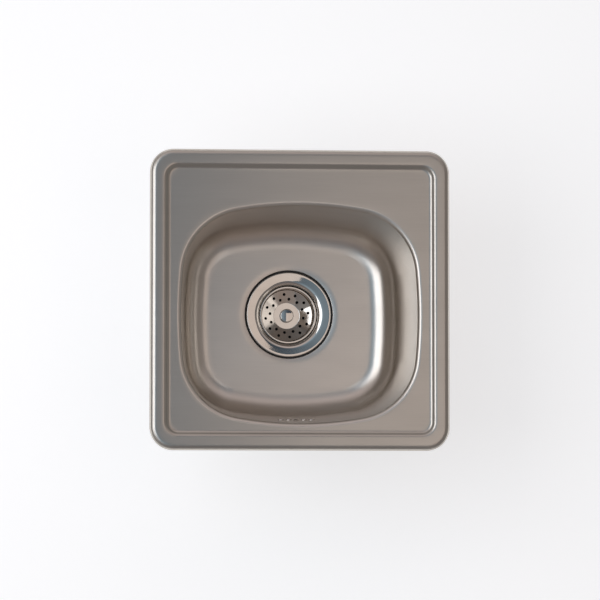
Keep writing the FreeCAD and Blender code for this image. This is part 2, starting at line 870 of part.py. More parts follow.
def make_nut(number, x, y, turn):
    """A wing nut under the claw."""
    nut = new_body(f"clip_nut_{number}")
    turned(nut, (ZERO, ZERO), [
        line(ZERO, -S.nut_height), line(S.nut_foot_radius, -S.nut_height),
        line(S.nut_top_radius, ZERO), line(ZERO, ZERO),
    ])
    wings = body_sketch(nut, "XZ_Plane", "wings")
    for side in (1, -1):
        add_outline(wings, (side * S.wing_root, -S.wing_shoulder), [
            line(side * S.wing_reach, -S.wing_fall + 2 * S.wing_tip),
            arc(side * (S.wing_reach + S.wing_tip), -S.wing_fall + S.wing_tip, S.wing_tip, -side),
            arc(side * S.wing_reach, -S.wing_fall, S.wing_tip, -side),
            line(side * S.wing_root, -S.nut_height + S.wing_shoulder),
            line(side * S.wing_root, -S.wing_shoulder),
        ])
    padded(nut, wings, S.wing_thickness)
    bore = body_sketch(nut, "XY_Plane", "bore")
    add_circle(bore, S.bolt_radius + S.thread_gap)
    cut_through(nut, bore)
    return place(nut, (x, y, -S.claw_drop - S.claw_steel - S.running_gap), turn=turn)


def wall_back(bow, depth):
    """Distance of the wall's outer face from the axis of its bow, at a depth below the deck."""
    return bow - wall_inset(depth) + S.sheet / cosine(S.wall_draft)


def wall_band(bow, top, foot, near, far):
    """A band that follows the wall's outer face between two depths, as a section about the axis."""
    return (wall_back(bow, top) + near, DECK_TOP - top), [
        line(wall_back(bow, foot) + near, DECK_TOP - foot),
        line(wall_back(bow, foot) + far, DECK_TOP - foot),
        line(wall_back(bow, top) + far, DECK_TOP - top),
        line(wall_back(bow, top) + near, DECK_TOP - top),
    ]


def make_pad(name, sense, turn):
    """A damping pad glued to a side wall."""
    pad = new_body(f"sound_pad_{name}")
    start, moves = wall_band(S.side_bow, S.pad_top, S.pad_foot, S.pad_glue,
                             S.pad_glue + S.pad_thickness)
    turned(pad, start, moves, angle=S.pad_length / S.side_bow * DEGREES_PER_RADIAN)
    axis_x = sense * (S.bowl_width / 2 - S.side_bow)
    return place(pad, (axis_x, BOWL_Y, ZERO), turn=turn)


# Levels of the waste.

CUP_ZERO = RECESS_TOP + S.flange_seal_thickness
BODY_ZERO = RECESS_UNDER - S.gasket_thickness
HUB_TOP = CUP_ZERO - S.well_depth - S.cup_sheet
AT_CUP = (ZERO, WASTE_Y, CUP_ZERO)


def make_cup():
    """The pressed flange and cup: flange, lip, tapered wall, stopper seat, well and its slots."""
    cup = new_body("waste_cup")
    t = S.cup_sheet
    edge = FLANGE_RADIUS - S.flange_rise
    lip_top = S.flange_rise - (edge - S.lip_radius) * tangent(S.flange_slope)
    turn_x = S.lip_radius - S.lip_bend * (sine(S.lip_tilt) - sine(S.flange_slope))
    turn_z = lip_top - S.lip_bend * (cosine(S.flange_slope) - cosine(S.lip_tilt))
    throat_x = turn_x - S.throat_bend * (1 - sine(S.lip_tilt))
    throat_z = turn_z - S.throat_bend * cosine(S.lip_tilt)
    seat_foot = -S.seat_depth - S.seat_fall
    hole = S.screw_radius + S.hole_gap
    turned(cup, (FLANGE_RADIUS, ZERO), [
        arc(edge, S.flange_rise, S.flange_rise, 1),
        line(S.lip_radius, lip_top),
        arc(turn_x, turn_z, S.lip_bend, 1),
        arc(throat_x, throat_z, S.throat_bend, 1),
        line(S.seat_radius, -S.seat_depth),
        line(S.well_radius, seat_foot),
        line(S.well_radius, -S.well_depth),
        line(hole, -S.well_depth),
        line(hole, -S.well_depth - t),
        line(S.well_radius + t, -S.well_depth - t),
        line(S.well_radius + t, seat_foot - t / 2),
        line(S.seat_radius + t, -S.seat_depth - t / 2),
        line(throat_x + t, throat_z),
        arc(turn_x + t * sine(S.lip_tilt), turn_z - t * cosine(S.lip_tilt), S.throat_bend - t, -1),
        arc(S.lip_radius + t * sine(S.flange_slope), lip_top - t * cosine(S.flange_slope),
            S.lip_bend - t, -1),
        line(FLANGE_RADIUS, ZERO),
    ])
    slot = body_sketch(cup, "XY_Plane", "slot")
    add_circle(slot, S.cup_slot_radius, S.cup_slot_place)
    ringed(cup, cut_through(cup, slot), S.cup_slot_count)
    return place(cup, AT_CUP)


def make_ring(label, inner, outer, foot, height):
    """A flat ring round the waste's axis."""
    return turned_body(label, (inner, ZERO), [
        line(outer, ZERO), line(outer, height), line(inner, height), line(inner, ZERO),
    ], (ZERO, WASTE_Y, foot))


def waste_section(name, start, moves):
    section = free_sketch(name, upright=True, at=(ZERO, WASTE_Y, ZERO))
    add_outline(section, start, moves)
    return section


INLET_Z = BODY_ZERO - S.inlet_depth
BODY_MOUTH = S.body_bore + S.body_wall + S.socket_length


def front_cylinder(name, radius, near, far):
    """A cylinder that runs to the front from the waste's axis, between two distances from it."""
    return cylinder(name, radius, far - near, (ZERO, WASTE_Y - near, INLET_Z), (1, 0, 0), QUARTER)


def make_waste_body():
    """The moulded funnel with its hub, ribs, overflow inlet and outlet spout."""
    top, foot = BODY_ZERO, BODY_ZERO - S.body_depth
    spout = foot - S.funnel_height
    end = spout - S.outlet_length
    bore = S.outlet_radius - S.outlet_wall
    under = top - S.body_flange_thickness
    outside = spun("body_outside", waste_section("body_outside_section", (ZERO, top), [
        line(ZERO, end), line(S.outlet_radius, end), line(S.outlet_radius, spout),
        line(S.body_foot_bore + S.body_wall, foot), line(S.body_bore + S.body_wall, under),
        line(FLANGE_RADIUS, under), line(FLANGE_RADIUS, top), line(ZERO, top),
    ]))
    inlet = front_cylinder("inlet_outside", S.socket_radius, S.body_bore, BODY_MOUTH)
    inside = spun("body_inside", waste_section("body_inside_section", (ZERO, top + S.overrun), [
        line(ZERO, end - S.overrun), line(bore, end - S.overrun), line(bore, spout),
        line(S.body_foot_bore, foot), line(S.body_bore, top), line(S.body_bore, top + S.overrun),
        line(ZERO, top + S.overrun),
    ]))
    funnel = cut("body_funnel", fused("body_blank", [outside, inlet]), inside)
    hub = cylinder("body_hub", S.hub_radius, S.hub_height, (ZERO, WASTE_Y, HUB_TOP - S.hub_height))
    pieces = [funnel, hub]
    rib_top = HUB_TOP - S.rib_fall
    reach = S.body_foot_bore + S.body_wall / 2
    for number, turn in enumerate(RIB_TURNS):
        outline = free_sketch(f"rib_{number}_outline", at=(ZERO, WASTE_Y, rib_top))
        add_outline(outline, (-reach, -S.rib_thickness / 2), [
            line(reach, -S.rib_thickness / 2), line(reach, S.rib_thickness / 2),
            line(-reach, S.rib_thickness / 2), line(-reach, -S.rib_thickness / 2),
        ])
        place(outline, (ZERO, WASTE_Y, rib_top), turn=turn)
        pieces.append(plate(f"rib_{number}", outline, rib_top - foot))
    hub_foot = HUB_TOP - S.hub_height - S.overrun
    bores = [
        cylinder("hub_bore", S.screw_radius + S.hole_gap, S.hub_height + 2 * S.overrun,
                 (ZERO, WASTE_Y, hub_foot)),
        cylinder("hub_pocket", S.insert_radius, S.hub_height - S.hub_shoulder + S.overrun,
                 (ZERO, WASTE_Y, hub_foot)),
        front_cylinder("inlet_bore", S.pipe_radius - S.pipe_wall, S.body_bore - S.body_wall,
                       BODY_MOUTH),
        front_cylinder("inlet_socket", S.pipe_radius + S.pipe_gap, BODY_MOUTH - S.pipe_entry,
                       BODY_MOUTH + S.overrun),
    ]
    body = cut("waste_body", fused("body_solid", pieces), fused("body_bores", bores))
    body.Label = "waste_body"
    return body


def make_centre_screw():
    """The screw that draws the waste body up to the cup."""
    screw = new_body("centre_screw")
    head = S.screw_head_height
    turned(screw, (ZERO, -S.screw_length), [
        line(S.screw_radius, -S.screw_length), line(S.screw_radius, ZERO),
        line(S.screw_head_radius, ZERO), line(S.screw_head_radius, head / 2),
        line(S.screw_head_radius - head / 2, head), line(ZERO, head),
        line(ZERO, -S.screw_length),
    ])
    add_slot(screw, head - S.screw_slot_depth, S.screw_slot_width, S.screw_head_radius)
    return place(screw, (ZERO, WASTE_Y, CUP_ZERO - S.well_depth))


def add_slot(body, floor, width, reach):
    """A straight slot across a screw's head, open at the top."""
    slot = body_sketch(body, "XY_Plane", "slot", floor)
    long, half = reach + S.overrun, width / 2
    add_outline(slot, (-long, -half), [
        line(long, -half), line(long, half), line(-long, half), line(-long, -half),
    ])
    cut_through(body, slot, both_ways=False)


def make_insert():
    """The threaded insert, held under the hub's shoulder."""
    return make_ring("screw_insert", S.screw_radius + S.thread_gap, S.insert_radius,
                     HUB_TOP - S.hub_shoulder - S.insert_height, S.insert_height)


# The basket, measured down from the underside of the cup's flange.

SEAT_RUN = S.seat_radius - S.well_radius
SEAT_SLOPE = S.seat_fall / SEAT_RUN
SEAT_SPAN = root(S.seat_fall * S.seat_fall + SEAT_RUN * SEAT_RUN)
STOPPER_FOOT = S.running_gap * SEAT_SPAN / SEAT_RUN - S.seat_depth - S.seat_fall
DISH_UNDER = -S.dish_cone_depth - S.dish_sheet


def make_dish_basket():
    """The perforated basket: rim, wall, cone with two rings of holes and a flat middle."""
    dish = new_body("basket_dish")
    t = S.dish_sheet
    rim = -S.dish_rim_depth
    rim_inner = S.dish_rim - S.dish_rim_width
    turned(dish, (S.dish_rim, rim - t), [
        arc(S.dish_rim - t, rim, t, 1), line(rim_inner, rim),
        line(S.dish_wall_foot, -S.dish_wall_depth), line(S.dish_cone_foot, -S.dish_cone_depth),
        line(S.stem_radius, -S.dish_cone_depth), line(S.stem_radius, DISH_UNDER),
        line(S.dish_cone_foot, DISH_UNDER), line(S.dish_wall_foot + t, -S.dish_wall_depth - t / 2),
        line(rim_inner + t, rim - t), line(S.dish_rim, rim - t),
    ])
    for name, reach, turn in (("outer", S.outer_holes_place, S.outer_holes_turn),
                              ("inner", S.inner_holes_place, S.inner_holes_turn)):
        hole = body_sketch(dish, "XY_Plane", f"{name}_hole")
        add_circle(hole, S.dish_hole, reach * cosine(turn), reach * sine(turn))
        ringed(dish, cut_through(dish, hole), S.dish_hole_count)
    return place(dish, AT_CUP)


def make_knob():
    """The low knob in the middle, undercut for the fingertips, with a slightly domed top."""
    foot = -S.dish_cone_depth
    neck = foot + S.knob_neck_height
    top = foot + S.knob_height
    shoulder = top - S.knob_dome
    crown = S.knob_radius - S.knob_bend
    dome_bend = (crown * crown + S.knob_dome * S.knob_dome) / (2 * S.knob_dome)
    return turned_body("basket_knob", (S.stem_radius, foot), [
        line(S.knob_neck, foot), line(S.knob_neck, neck),
        line(S.knob_radius, neck + S.knob_edge), line(S.knob_radius, shoulder - S.knob_bend),
        arc(crown, shoulder, S.knob_bend, 1), arc(ZERO, top, dome_bend, 1),
        line(ZERO, neck), line(S.stem_radius, neck), line(S.stem_radius, foot),
    ], AT_CUP)


STOPPER_TOP = STOPPER_FOOT + S.stopper_thickness
RETAINER_TOP = STOPPER_FOOT - S.running_gap
RETAINER_FOOT = RETAINER_TOP - S.retainer_height


def make_stem():
    """The stem under the basket: a collar that bears on the stopper, and the pin through it."""
    neck = -S.dish_cone_depth + S.knob_neck_height
    collar_foot = STOPPER_TOP + S.running_gap
    return turned_body("basket_stem", (ZERO, neck), [
        line(ZERO, RETAINER_FOOT), line(S.stem_radius, RETAINER_FOOT),
        line(S.stem_radius, collar_foot), line(S.stem_collar, collar_foot),
        line(S.stem_collar, DISH_UNDER), line(S.stem_radius, DISH_UNDER),
        line(S.stem_radius, neck), line(ZERO, neck),
    ], AT_CUP)


def make_stopper():
    """The rubber stopper that closes the seat under the basket."""
    bore = S.stem_radius + S.thread_gap
    edge = S.seat_radius - S.stopper_edge
    edge_foot = STOPPER_FOOT + (edge - S.well_radius) * SEAT_SLOPE
    return turned_body("basket_stopper", (bore, STOPPER_FOOT), [
        line(S.well_radius, STOPPER_FOOT), line(edge, edge_foot),
        line(edge, edge_foot + S.stopper_lip), line(S.well_radius, STOPPER_TOP),
        line(bore, STOPPER_TOP), line(bore, STOPPER_FOOT),
    ], AT_CUP)


def make_retainer():
    """The disc that holds the stopper on the stem."""
    return turned_body("stopper_retainer", (S.stem_radius, RETAINER_FOOT), [
        line(S.retainer_radius, RETAINER_FOOT), line(S.retainer_radius, RETAINER_TOP),
        line(S.stem_radius, RETAINER_TOP), line(S.stem_radius, RETAINER_FOOT),
    ], AT_CUP)


# The overflow, drawn about the axis of the bowed front wall.

BOW_AXIS = (ZERO, BOWL_Y - (S.bowl_length / 2 - S.end_bow), ZERO)
FRONT_TURN = -QUARTER
PIPE_Y = BOW_AXIS[1] - wall_back(S.end_bow, S.head_foot) - S.overflow_gasket_thickness \
    - S.socket_place
HEAD_FOOT = DECK_TOP - S.head_foot
HEAD_MOUTH = HEAD_FOOT - S.socket_length


def bow_angle(width):
    return width / S.end_bow * DEGREES_PER_RADIAN


def make_overflow_gasket():
    """The gasket between the front wall and the overflow head, open in its middle."""
    gasket = new_body("overflow_gasket")
    thick = S.overflow_gasket_thickness
    start, moves = wall_band(S.end_bow, S.head_top, S.head_foot, ZERO, thick)
    turned(gasket, start, moves, angle=bow_angle(S.head_width))
    start, moves = wall_band(S.end_bow, S.head_top + S.window_margin, S.head_foot - S.window_margin,
                             -S.overrun, thick + S.overrun)
    turned(gasket, start, moves, "window", bow_angle(S.head_width - 2 * S.window_margin), True)
    return place(gasket, BOW_AXIS, turn=FRONT_TURN)


def make_overflow_head():
    """The housing behind the front wall: an open box with a screw post and a socket for the pipe."""
    blank = new_body("head_blank")
    near = S.overflow_gasket_thickness
    far = near + S.head_body
    start, moves = wall_band(S.end_bow, S.head_top, S.head_foot, near, far)
    turned(blank, start, moves, angle=bow_angle(S.head_width))
    start, moves = wall_band(S.end_bow, S.head_top + S.head_wall, S.head_foot - S.head_wall,
                             near - S.overrun, far - S.head_wall)
    turned(blank, start, moves, "hollow", bow_angle(S.head_width - 2 * S.head_wall), True)
    place(blank, BOW_AXIS, turn=FRONT_TURN)
    reach = S.sheet + near + S.head_body - S.head_wall / 2
    post = wall_cylinder("head_post", S.post_radius, S.sheet + near, reach)
    socket = cylinder("head_socket", S.socket_radius, S.socket_length + S.head_wall / 2,
                      (ZERO, PIPE_Y, HEAD_MOUTH))
    bores = fused("head_bores", [
        wall_cylinder("post_bore", S.small_screw_radius + S.thread_gap, ZERO,
                      S.small_screw_length + S.overrun),
        cylinder("socket_bore", S.pipe_radius - S.pipe_wall,
                 S.socket_length + S.head_wall + S.overrun, (ZERO, PIPE_Y, HEAD_MOUTH)),
        cylinder("socket_entry", S.pipe_radius + S.pipe_gap, S.pipe_entry + S.overrun,
                 (ZERO, PIPE_Y, HEAD_MOUTH - S.overrun)),
    ])
    head = cut("overflow_head", fused("head_solid", [blank, post, socket]), bores)
    head.Label = "overflow_head"
    return head


def make_overflow_screw():
    """The domed screw in the middle hole."""
    screw = new_body("overflow_screw")
    head, reach = S.small_head_height, S.small_head_radius
    dome = (reach * reach + head * head) / (2 * head)
    turned(screw, (ZERO, -S.small_screw_length), [
        line(S.small_screw_radius, -S.small_screw_length), line(S.small_screw_radius, ZERO),
        line(reach, ZERO), arc(ZERO, head, dome, 1), line(ZERO, -S.small_screw_length),
    ])
    add_slot(screw, head - S.small_slot_depth, S.small_slot_width, reach)
    # the flat head bears with its two sides on the bowed wall
    lift = reach * reach / (2 * (S.end_bow - wall_inset(S.overflow_depth)))
    return place(screw, (ZERO, OVERFLOW_Y + lift, OVERFLOW_Z), *SQUARE_TO_FRONT)


def make_overflow_pipe():
    """The rigid pipe: down from the head, round one bend and back to the waste body."""
    top = HEAD_MOUTH + S.pipe_entry
    run = PIPE_Y + S.pipe_bend
    end = WASTE_Y - BODY_MOUTH + S.pipe_entry
    tubes = []
    for name, radius in (("outside", S.pipe_radius), ("inside", S.pipe_radius - S.pipe_wall)):
        path = free_sketch(f"pipe_path_{name}", upright=True)
        place(path, (ZERO, ZERO, ZERO), TO_FRONT_AXIS, TO_FRONT_TURN)
        add_outline(path, (-PIPE_Y, top), [
            line(-PIPE_Y, INLET_Z + S.pipe_bend), arc(-run, INLET_Z, S.pipe_bend, -1),
            line(-end, INLET_Z),
        ], closed=False)
        circle = free_sketch(f"pipe_circle_{name}", at=(ZERO, PIPE_Y, top))
        add_circle(circle, radius)
        tubes.append(swept(f"pipe_{name}", circle, path))
    pipe = cut("overflow_pipe", *tubes)
    pipe.Label = "overflow_pipe"
    return pipe


def make_joint(name, at, axis, turn):
    """A cone seal on the pipe and the nut that presses it into a socket's mouth."""
    seal = turned_body(f"overflow_seal_{name}", (S.pipe_radius, ZERO), [
        line(S.pipe_radius, -S.cone_height), line(S.socket_radius - S.cone_height / 2, -S.cone_height),
        line(S.socket_radius, ZERO), line(S.pipe_radius, ZERO),
    ])
    foot = -S.cone_height - S.ring_lip
    top = foot + S.ring_height
    hole = S.pipe_radius + S.pipe_gap
    bore = S.socket_radius
    nut = turned_body(f"overflow_nut_{name}", (hole, foot), [
        line(bore + S.ring_wall, foot), line(bore + S.ring_wall, top), line(bore, top),
        line(bore, -S.cone_height), line(hole, -S.cone_height), line(hole, foot),
    ])
    return [place(piece, at, axis, turn) for piece in (seal, nut)]


PARTS = [make_shell(), make_seal()]
PARTS += [make_rail(*side) for side in SIDES]
PARTS += [make_bolts()]
PARTS += [make_claw(number, *spot) for number, spot in enumerate(clip_spots(), 1)]
PARTS += [make_nut(number, *spot) for number, spot in enumerate(clip_spots(), 1)]
PARTS += [make_pad("right", 1, 0), make_pad("left", -1, HALF_TURN)]
PARTS += [
    make_cup(),
    make_ring("flange_seal", S.waste_hole + S.flange_seal_clear, FLANGE_RADIUS - S.flange_seal_inset,
              RECESS_TOP, S.flange_seal_thickness),
    make_ring("body_gasket", S.waste_hole, FLANGE_RADIUS, BODY_ZERO, S.gasket_thickness),
    make_waste_body(), make_centre_screw(), make_insert(),
]
PARTS += [make_dish_basket(), make_knob(), make_stem(), make_stopper(), make_retainer()]
PARTS += [make_overflow_gasket(), make_overflow_head(), make_overflow_screw(),
          make_overflow_pipe()]
PARTS += make_joint("top", (ZERO, PIPE_Y, HEAD_MOUTH), (0, 0, 1), 0)
PARTS += make_joint("bottom", (ZERO, WASTE_Y - BODY_MOUTH, INLET_Z), (1, 0, 0), -QUARTER)


def export_parts(parts):
    """Check every object and every part, then write each part to its own file."""
    doc.recompute()
    failed = [item.Name for item in doc.Objects if {"Invalid", "Error"} & set(item.State)]
    if failed:
        raise RuntimeError(f"failed: {failed}")
    os.makedirs("parts", exist_ok=True)
    for item in parts:
        if item.Shape.isNull() or not item.Shape.isValid():
            raise RuntimeError(f"{item.Label} has no valid shape")
        solids = item.Shape.Solids
        volume = item.Shape.Volume
        print(f"{item.Label}: {len(solids)} solids, {volume:.1f} mm3")
        item.Shape.exportStep(f"parts/{item.Label}.step")


export_parts(PARTS)
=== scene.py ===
"""Single bowl kitchen sink: its surfaces, finishes and studio, around the packed frame.

Lengths in the classes are millimetres. Meshes are made in metres, in the frame's own axes:
+X to the right, +Y to the back, +Z up, with the origin in the middle of the rim on the worktop.
"""

import logging
from collections.abc import Callable, Sequence
from dataclasses import dataclass
from enum import Enum
from math import asin, atan2, cos, hypot, pi, radians, sin, sqrt, tan, tau

import bmesh
import bpy
import numpy as np
from mathutils import Matrix, Vector


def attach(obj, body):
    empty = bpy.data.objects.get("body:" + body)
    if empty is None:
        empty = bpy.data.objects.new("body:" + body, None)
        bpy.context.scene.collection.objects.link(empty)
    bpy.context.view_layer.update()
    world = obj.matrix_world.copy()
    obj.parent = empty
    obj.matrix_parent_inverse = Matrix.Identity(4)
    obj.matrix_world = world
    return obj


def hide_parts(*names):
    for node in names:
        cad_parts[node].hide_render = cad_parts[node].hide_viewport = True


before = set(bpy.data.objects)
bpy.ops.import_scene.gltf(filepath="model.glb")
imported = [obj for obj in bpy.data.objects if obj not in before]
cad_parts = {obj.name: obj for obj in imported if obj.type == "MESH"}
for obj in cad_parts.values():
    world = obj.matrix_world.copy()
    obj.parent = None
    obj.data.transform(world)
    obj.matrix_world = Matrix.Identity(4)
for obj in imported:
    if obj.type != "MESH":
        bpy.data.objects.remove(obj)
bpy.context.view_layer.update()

MM = 0.001
BRUSH_MAP = "brush"
# The waste's place from front to back, and the hole for it in the sheet, in millimetres
WASTE_Y = -9.8
WASTE_HOLE = 45

Point = tuple[float, float]
Object = bpy.types.Object
Material = bpy.types.Material
Socket = bpy.types.NodeSocket
Tree = bpy.types.NodeTree
Mesh = bmesh.types.BMesh
Key = int | str

log = logging.getLogger("sink")


# Colour and nodes


def linear(channel: float) -> float:
    """Turn one sRGB channel between 0 and 1 to linear light."""
    return channel / 12.92 if channel <= 0.04045 else ((channel + 0.055) / 1.055) ** 2.4


def colour(code: str) -> tuple[float, float, float, float]:
    """Turn an sRGB hex code, six digits after a hash, to red, green, blue and alpha in linear light."""
    red, green, blue = (linear(int(code[i:i + 2], 16) / 255) for i in (1, 3, 5))
    return red, green, blue, 1.0


def add_node(tree: Tree, kind: str, settings: dict[Key, object],
             links: dict[Key, Socket] | None = None) -> bpy.types.Node:
    """Add a node with its settings and links.

    Args:
        tree: the tree that gets the node.
        kind: the node's type, without its common prefix for shader nodes.
        settings: values for its inputs, by name or number, or for its properties.
        links: the sockets that feed its inputs, by name or number.

    Returns:
        The new node.
    """
    node = tree.nodes.new(f"ShaderNode{kind}")
    for key, value in settings.items():
        if isinstance(key, str) and key not in node.inputs:
            setattr(node, key, value)
        else:
            node.inputs[key].default_value = value
    for key, socket in (links or {}).items():
        tree.links.new(socket, node.inputs[key])
    return node


# Finishes


class Pattern(Enum):
    """How a finish is marked."""

    BRUSHED = "long fine scratches along the brushing"
    ROLLED = "soft cloudy grey of rolled sheet"
    POLISHED = "faint waviness under a mirror"
    PLATED = "fine satin grain"
    SPANGLED = "crystal patches of hot zinc"
    MOULDED = "fine spark texture of a mould"
    RUBBER = "soft matt skin"
    CELLS = "small bubbles of foam"
    TURNED = "fine marks of a lathe tool"


@dataclass(frozen=True)
class Finish:
    """One real material with the way its surface was made."""

    name: str
    base: str
    shade: str
    metallic: float
    roughness: float
    spread: float
    pattern: Pattern
    grain: float
    bump: float
    anisotropic: float = 0.0
    cloud: float = 45.0

    def material(self) -> Material:
        """Build the node material.

        Returns:
            The material, with its pattern in colour, roughness and bump.
        """
        made = bpy.data.materials.new(self.name)
        made.use_nodes = True
        tree = made.node_tree
        shader = tree.nodes["Principled BSDF"]
        shader.inputs["Metallic"].default_value = self.metallic
        shader.inputs["Anisotropic"].default_value = self.anisotropic
        fine = self.marks(tree)
        both = add_node(tree, "Mix", {"data_type": "FLOAT", 0: 0.5}, {2: fine, 3: self.clouds(tree)})
        share = add_node(tree, "MapRange", TINT_RANGE, {"Value": both.outputs[0]})
        tint = add_node(tree, "Mix", {"data_type": "RGBA", 6: colour(self.base),
                                      7: colour(self.shade)}, {0: share.outputs[0]})
        rough = add_node(tree, "MapRange", {"To Min": self.roughness - self.spread,
                                            "To Max": self.roughness + self.spread},
                         {"Value": both.outputs[0]})
        bump = add_node(tree, "Bump", {"Strength": 1.0, "Distance": self.bump * MM},
                        {"Height": fine})
        tree.links.new(tint.outputs[2], shader.inputs["Base Color"])
        tree.links.new(rough.outputs[0], shader.inputs["Roughness"])
        tree.links.new(bump.outputs[0], shader.inputs["Normal"])
        if self.anisotropic:
            # A quarter turn, because scratches spread a highlight across their own direction
            shader.inputs["Anisotropic Rotation"].default_value = 0.25
            lay = add_node(tree, "Tangent", {"direction_type": "UV_MAP", "uv_map": BRUSH_MAP})
            tree.links.new(lay.outputs[0], shader.inputs["Tangent"])
        return made

    def scaled(self, tree: Tree, sizes: Sequence[float]) -> Socket:
        """Coordinates that grow by one for each given size.

        Args:
            tree: the material's tree.
            sizes: millimetres for one step along each axis.

        Returns:
            The vector socket.
        """
        if self.pattern is Pattern.BRUSHED:
            source = add_node(tree, "UVMap", {"uv_map": BRUSH_MAP}).outputs[0]
        else:
            source = add_node(tree, "TexCoord", {}).outputs["Object"]
        steps = [1 / (size * MM) for size in sizes]
        return add_node(tree, "VectorMath", {"operation": "MULTIPLY", 1: steps}, {0: source}).outputs[0]

    def marks(self, tree: Tree) -> Socket:
        """The fine marks of the pattern.

        Args:
            tree: the material's tree.

        Returns:
            A socket with values from 0 to 1.
        """
        grain = self.grain
        sizes = {
            Pattern.BRUSHED: (BRUSH_STRETCH * grain, grain, grain),
            Pattern.TURNED: (TURNED_STRETCH * grain, TURNED_STRETCH * grain, grain),
        }.get(self.pattern, (grain,) * 3)
        spots = {"Vector": self.scaled(tree, sizes)}
        if self.pattern is Pattern.SPANGLED:
            patches = add_node(tree, "TexVoronoi", CELL_NOISE, spots).outputs["Color"]
            return add_node(tree, "SeparateColor", {}, {0: patches}).outputs[0]
        if self.pattern is Pattern.CELLS:
            return add_node(tree, "TexVoronoi", CELL_NOISE, spots).outputs["Distance"]
        return add_node(tree, "TexNoise", FINE_NOISE, spots).outputs[0]

    def clouds(self, tree: Tree) -> Socket:
        """Slow changes over the surface from rolling, handling and wiping, from 0 to 1."""
        spots = self.scaled(tree, (self.cloud * 2, self.cloud / 2, self.cloud))
        return add_node(tree, "TexNoise", BROAD_NOISE, {"Vector": spots}).outputs[0]


# Scratches are drawn this many times longer than they are wide
BRUSH_STRETCH = 70
TURNED_STRETCH = 12
CELL_NOISE = {"feature": "F1", "Scale": 1.0}
FINE_NOISE = {"Scale": 1.0, "Detail": 3.0, "Roughness": 0.6}
BROAD_NOISE = {"Scale": 1.0, "Detail": 2.0, "Roughness": 0.5}
# Marks rarely reach 0 or 1, so this middle part of them takes the colour from base to shade
TINT_RANGE = {"From Min": 0.3, "From Max": 0.7}

# Stainless sheet, pressed and then brushed with a 180 grit belt: satin, with highlights drawn out
# across the lay. The real scratches are 0.1 mm apart, too fine to show, so they are drawn at 0.9 mm.
BRUSHED_STEEL = Finish("stainless_steel_brushed", "#C4BEB6", "#BCB6AE", 1.0, 0.30, 0.03,
                       Pattern.BRUSHED, 0.9, 0.003, anisotropic=0.65, cloud=60.0)
# The drawn bowl takes a copy of the brushed sheet that is a little brighter and softer than the flat
# sheet. The brighter colour is painted light that lifts the bowl's walls and floor.
BOWL_STEEL_PAINTED_BRIGHTER = Finish("stainless_steel_brushed_painted_brighter", "#D8D1C9", "#D0C9C1", 1.0, 0.32, 0.03,
                     Pattern.BRUSHED, 0.9, 0.003, anisotropic=0.65, cloud=60.0)
# The same sheet as it left the rolls, on the side that nobody sees: duller and cloudier.
ROLLED_STEEL = Finish("stainless_steel_cold_rolled", "#A09B95", "#8D8984", 1.0, 0.38, 0.06,
                      Pattern.ROLLED, 3.0, 0.01)
# Stainless pressings buffed to a mirror: sharp reflections, only just wavy.
POLISHED_STEEL = Finish("stainless_steel_polished", "#CFC9C2", "#C6C0B9", 1.0, 0.05, 0.02,
                        Pattern.POLISHED, 9.0, 0.02, cloud=20.0)
# Zinc electroplate with a clear passivate: bluish satin over the stamped steel.
ZINC_STEEL = Finish("mild_steel_zinc_plated", "#B9BDBE", "#A2A7AA", 1.0, 0.32, 0.08,
                    Pattern.PLATED, 0.8, 0.01, cloud=15.0)
# Pregalvanised strip: crystal spangle 6 mm across with a dull shine.
GALVANISED_STEEL = Finish("mild_steel_galvanised", "#A9ADAF", "#8C9194", 1.0, 0.4, 0.1,
                          Pattern.SPANGLED, 6.0, 0.004)
# Brass turned on an automatic lathe: yellow, with a fine tool mark.
TURNED_BRASS = Finish("brass_turned", "#C9A45C", "#B28C46", 1.0, 0.25, 0.06,
                      Pattern.TURNED, 0.5, 0.01, cloud=10.0)
# Polypropylene, injection moulded: off-white, waxy, with a fine spark texture.
MOULDED_PP = Finish("polypropylene_moulded", "#DEDDD8", "#D3D2CC", 0.0, 0.42, 0.06,
                    Pattern.MOULDED, 0.9, 0.02)
# Acetal, injection moulded: dark grey and slippery.
MOULDED_ACETAL = Finish("acetal_moulded", "#2E2F31", "#262729", 0.0, 0.35, 0.05,
                        Pattern.MOULDED, 0.7, 0.01)
# EPDM rubber, compression moulded: black and matt.
MOULDED_RUBBER = Finish("epdm_rubber_moulded", "#1F2022", "#2A2B2C", 0.0, 0.62, 0.08,
                        Pattern.RUBBER, 1.2, 0.02, cloud=18.0)
# Polyethylene foam strip with closed cells of about 0.8 mm.
FOAM = Finish("polyethylene_foam_cut", "#3A3A3B", "#2E2E2F", 0.0, 0.85, 0.05,
              Pattern.CELLS, 0.8, 0.12)
# Bitumen sheet, rolled and pressed on warm: dark grey with a grainy skin.
BITUMEN = Finish("bitumen_sheet_pressed", "#3D3D40", "#333336", 0.0, 0.7, 0.08,
                 Pattern.RUBBER, 1.5, 0.08)


class Slot(Enum):
    """The material slots of the record."""

    PRESSED = "pressed_steel"
    GALVANISED = "galvanised_steel"
    ZINC = "zinc_steel"
    POLISHED = "polished_steel"
    FOAM = "foam"
    PAD = "damping_pad"
    SEAL = "seal_rubber"
    MOULDING = "moulding"
    STEM = "stem_moulding"
    BRASS = "brass"


# In the order of the slots
FINISHES = (BRUSHED_STEEL, GALVANISED_STEEL, ZINC_STEEL, POLISHED_STEEL, FOAM, BITUMEN, MOULDED_RUBBER,
            MOULDED_PP, MOULDED_ACETAL, TURNED_BRASS)
MATERIALS = {slot: finish.material() for slot, finish in zip(Slot, FINISHES)}


# Meshes

# Edges that turn by more than this are creases, and corners that turn by more are rounded
CREASE = radians(42)
CORNER = radians(14)
# Faces of a CAD node that turn by less than this are one flat, and points this near, in metres, are one
FLAT = radians(0.5)
WELD = 1e-6
# Points nearer to the axis than this, in millimetres, lie on it
ON_AXIS = 0.001
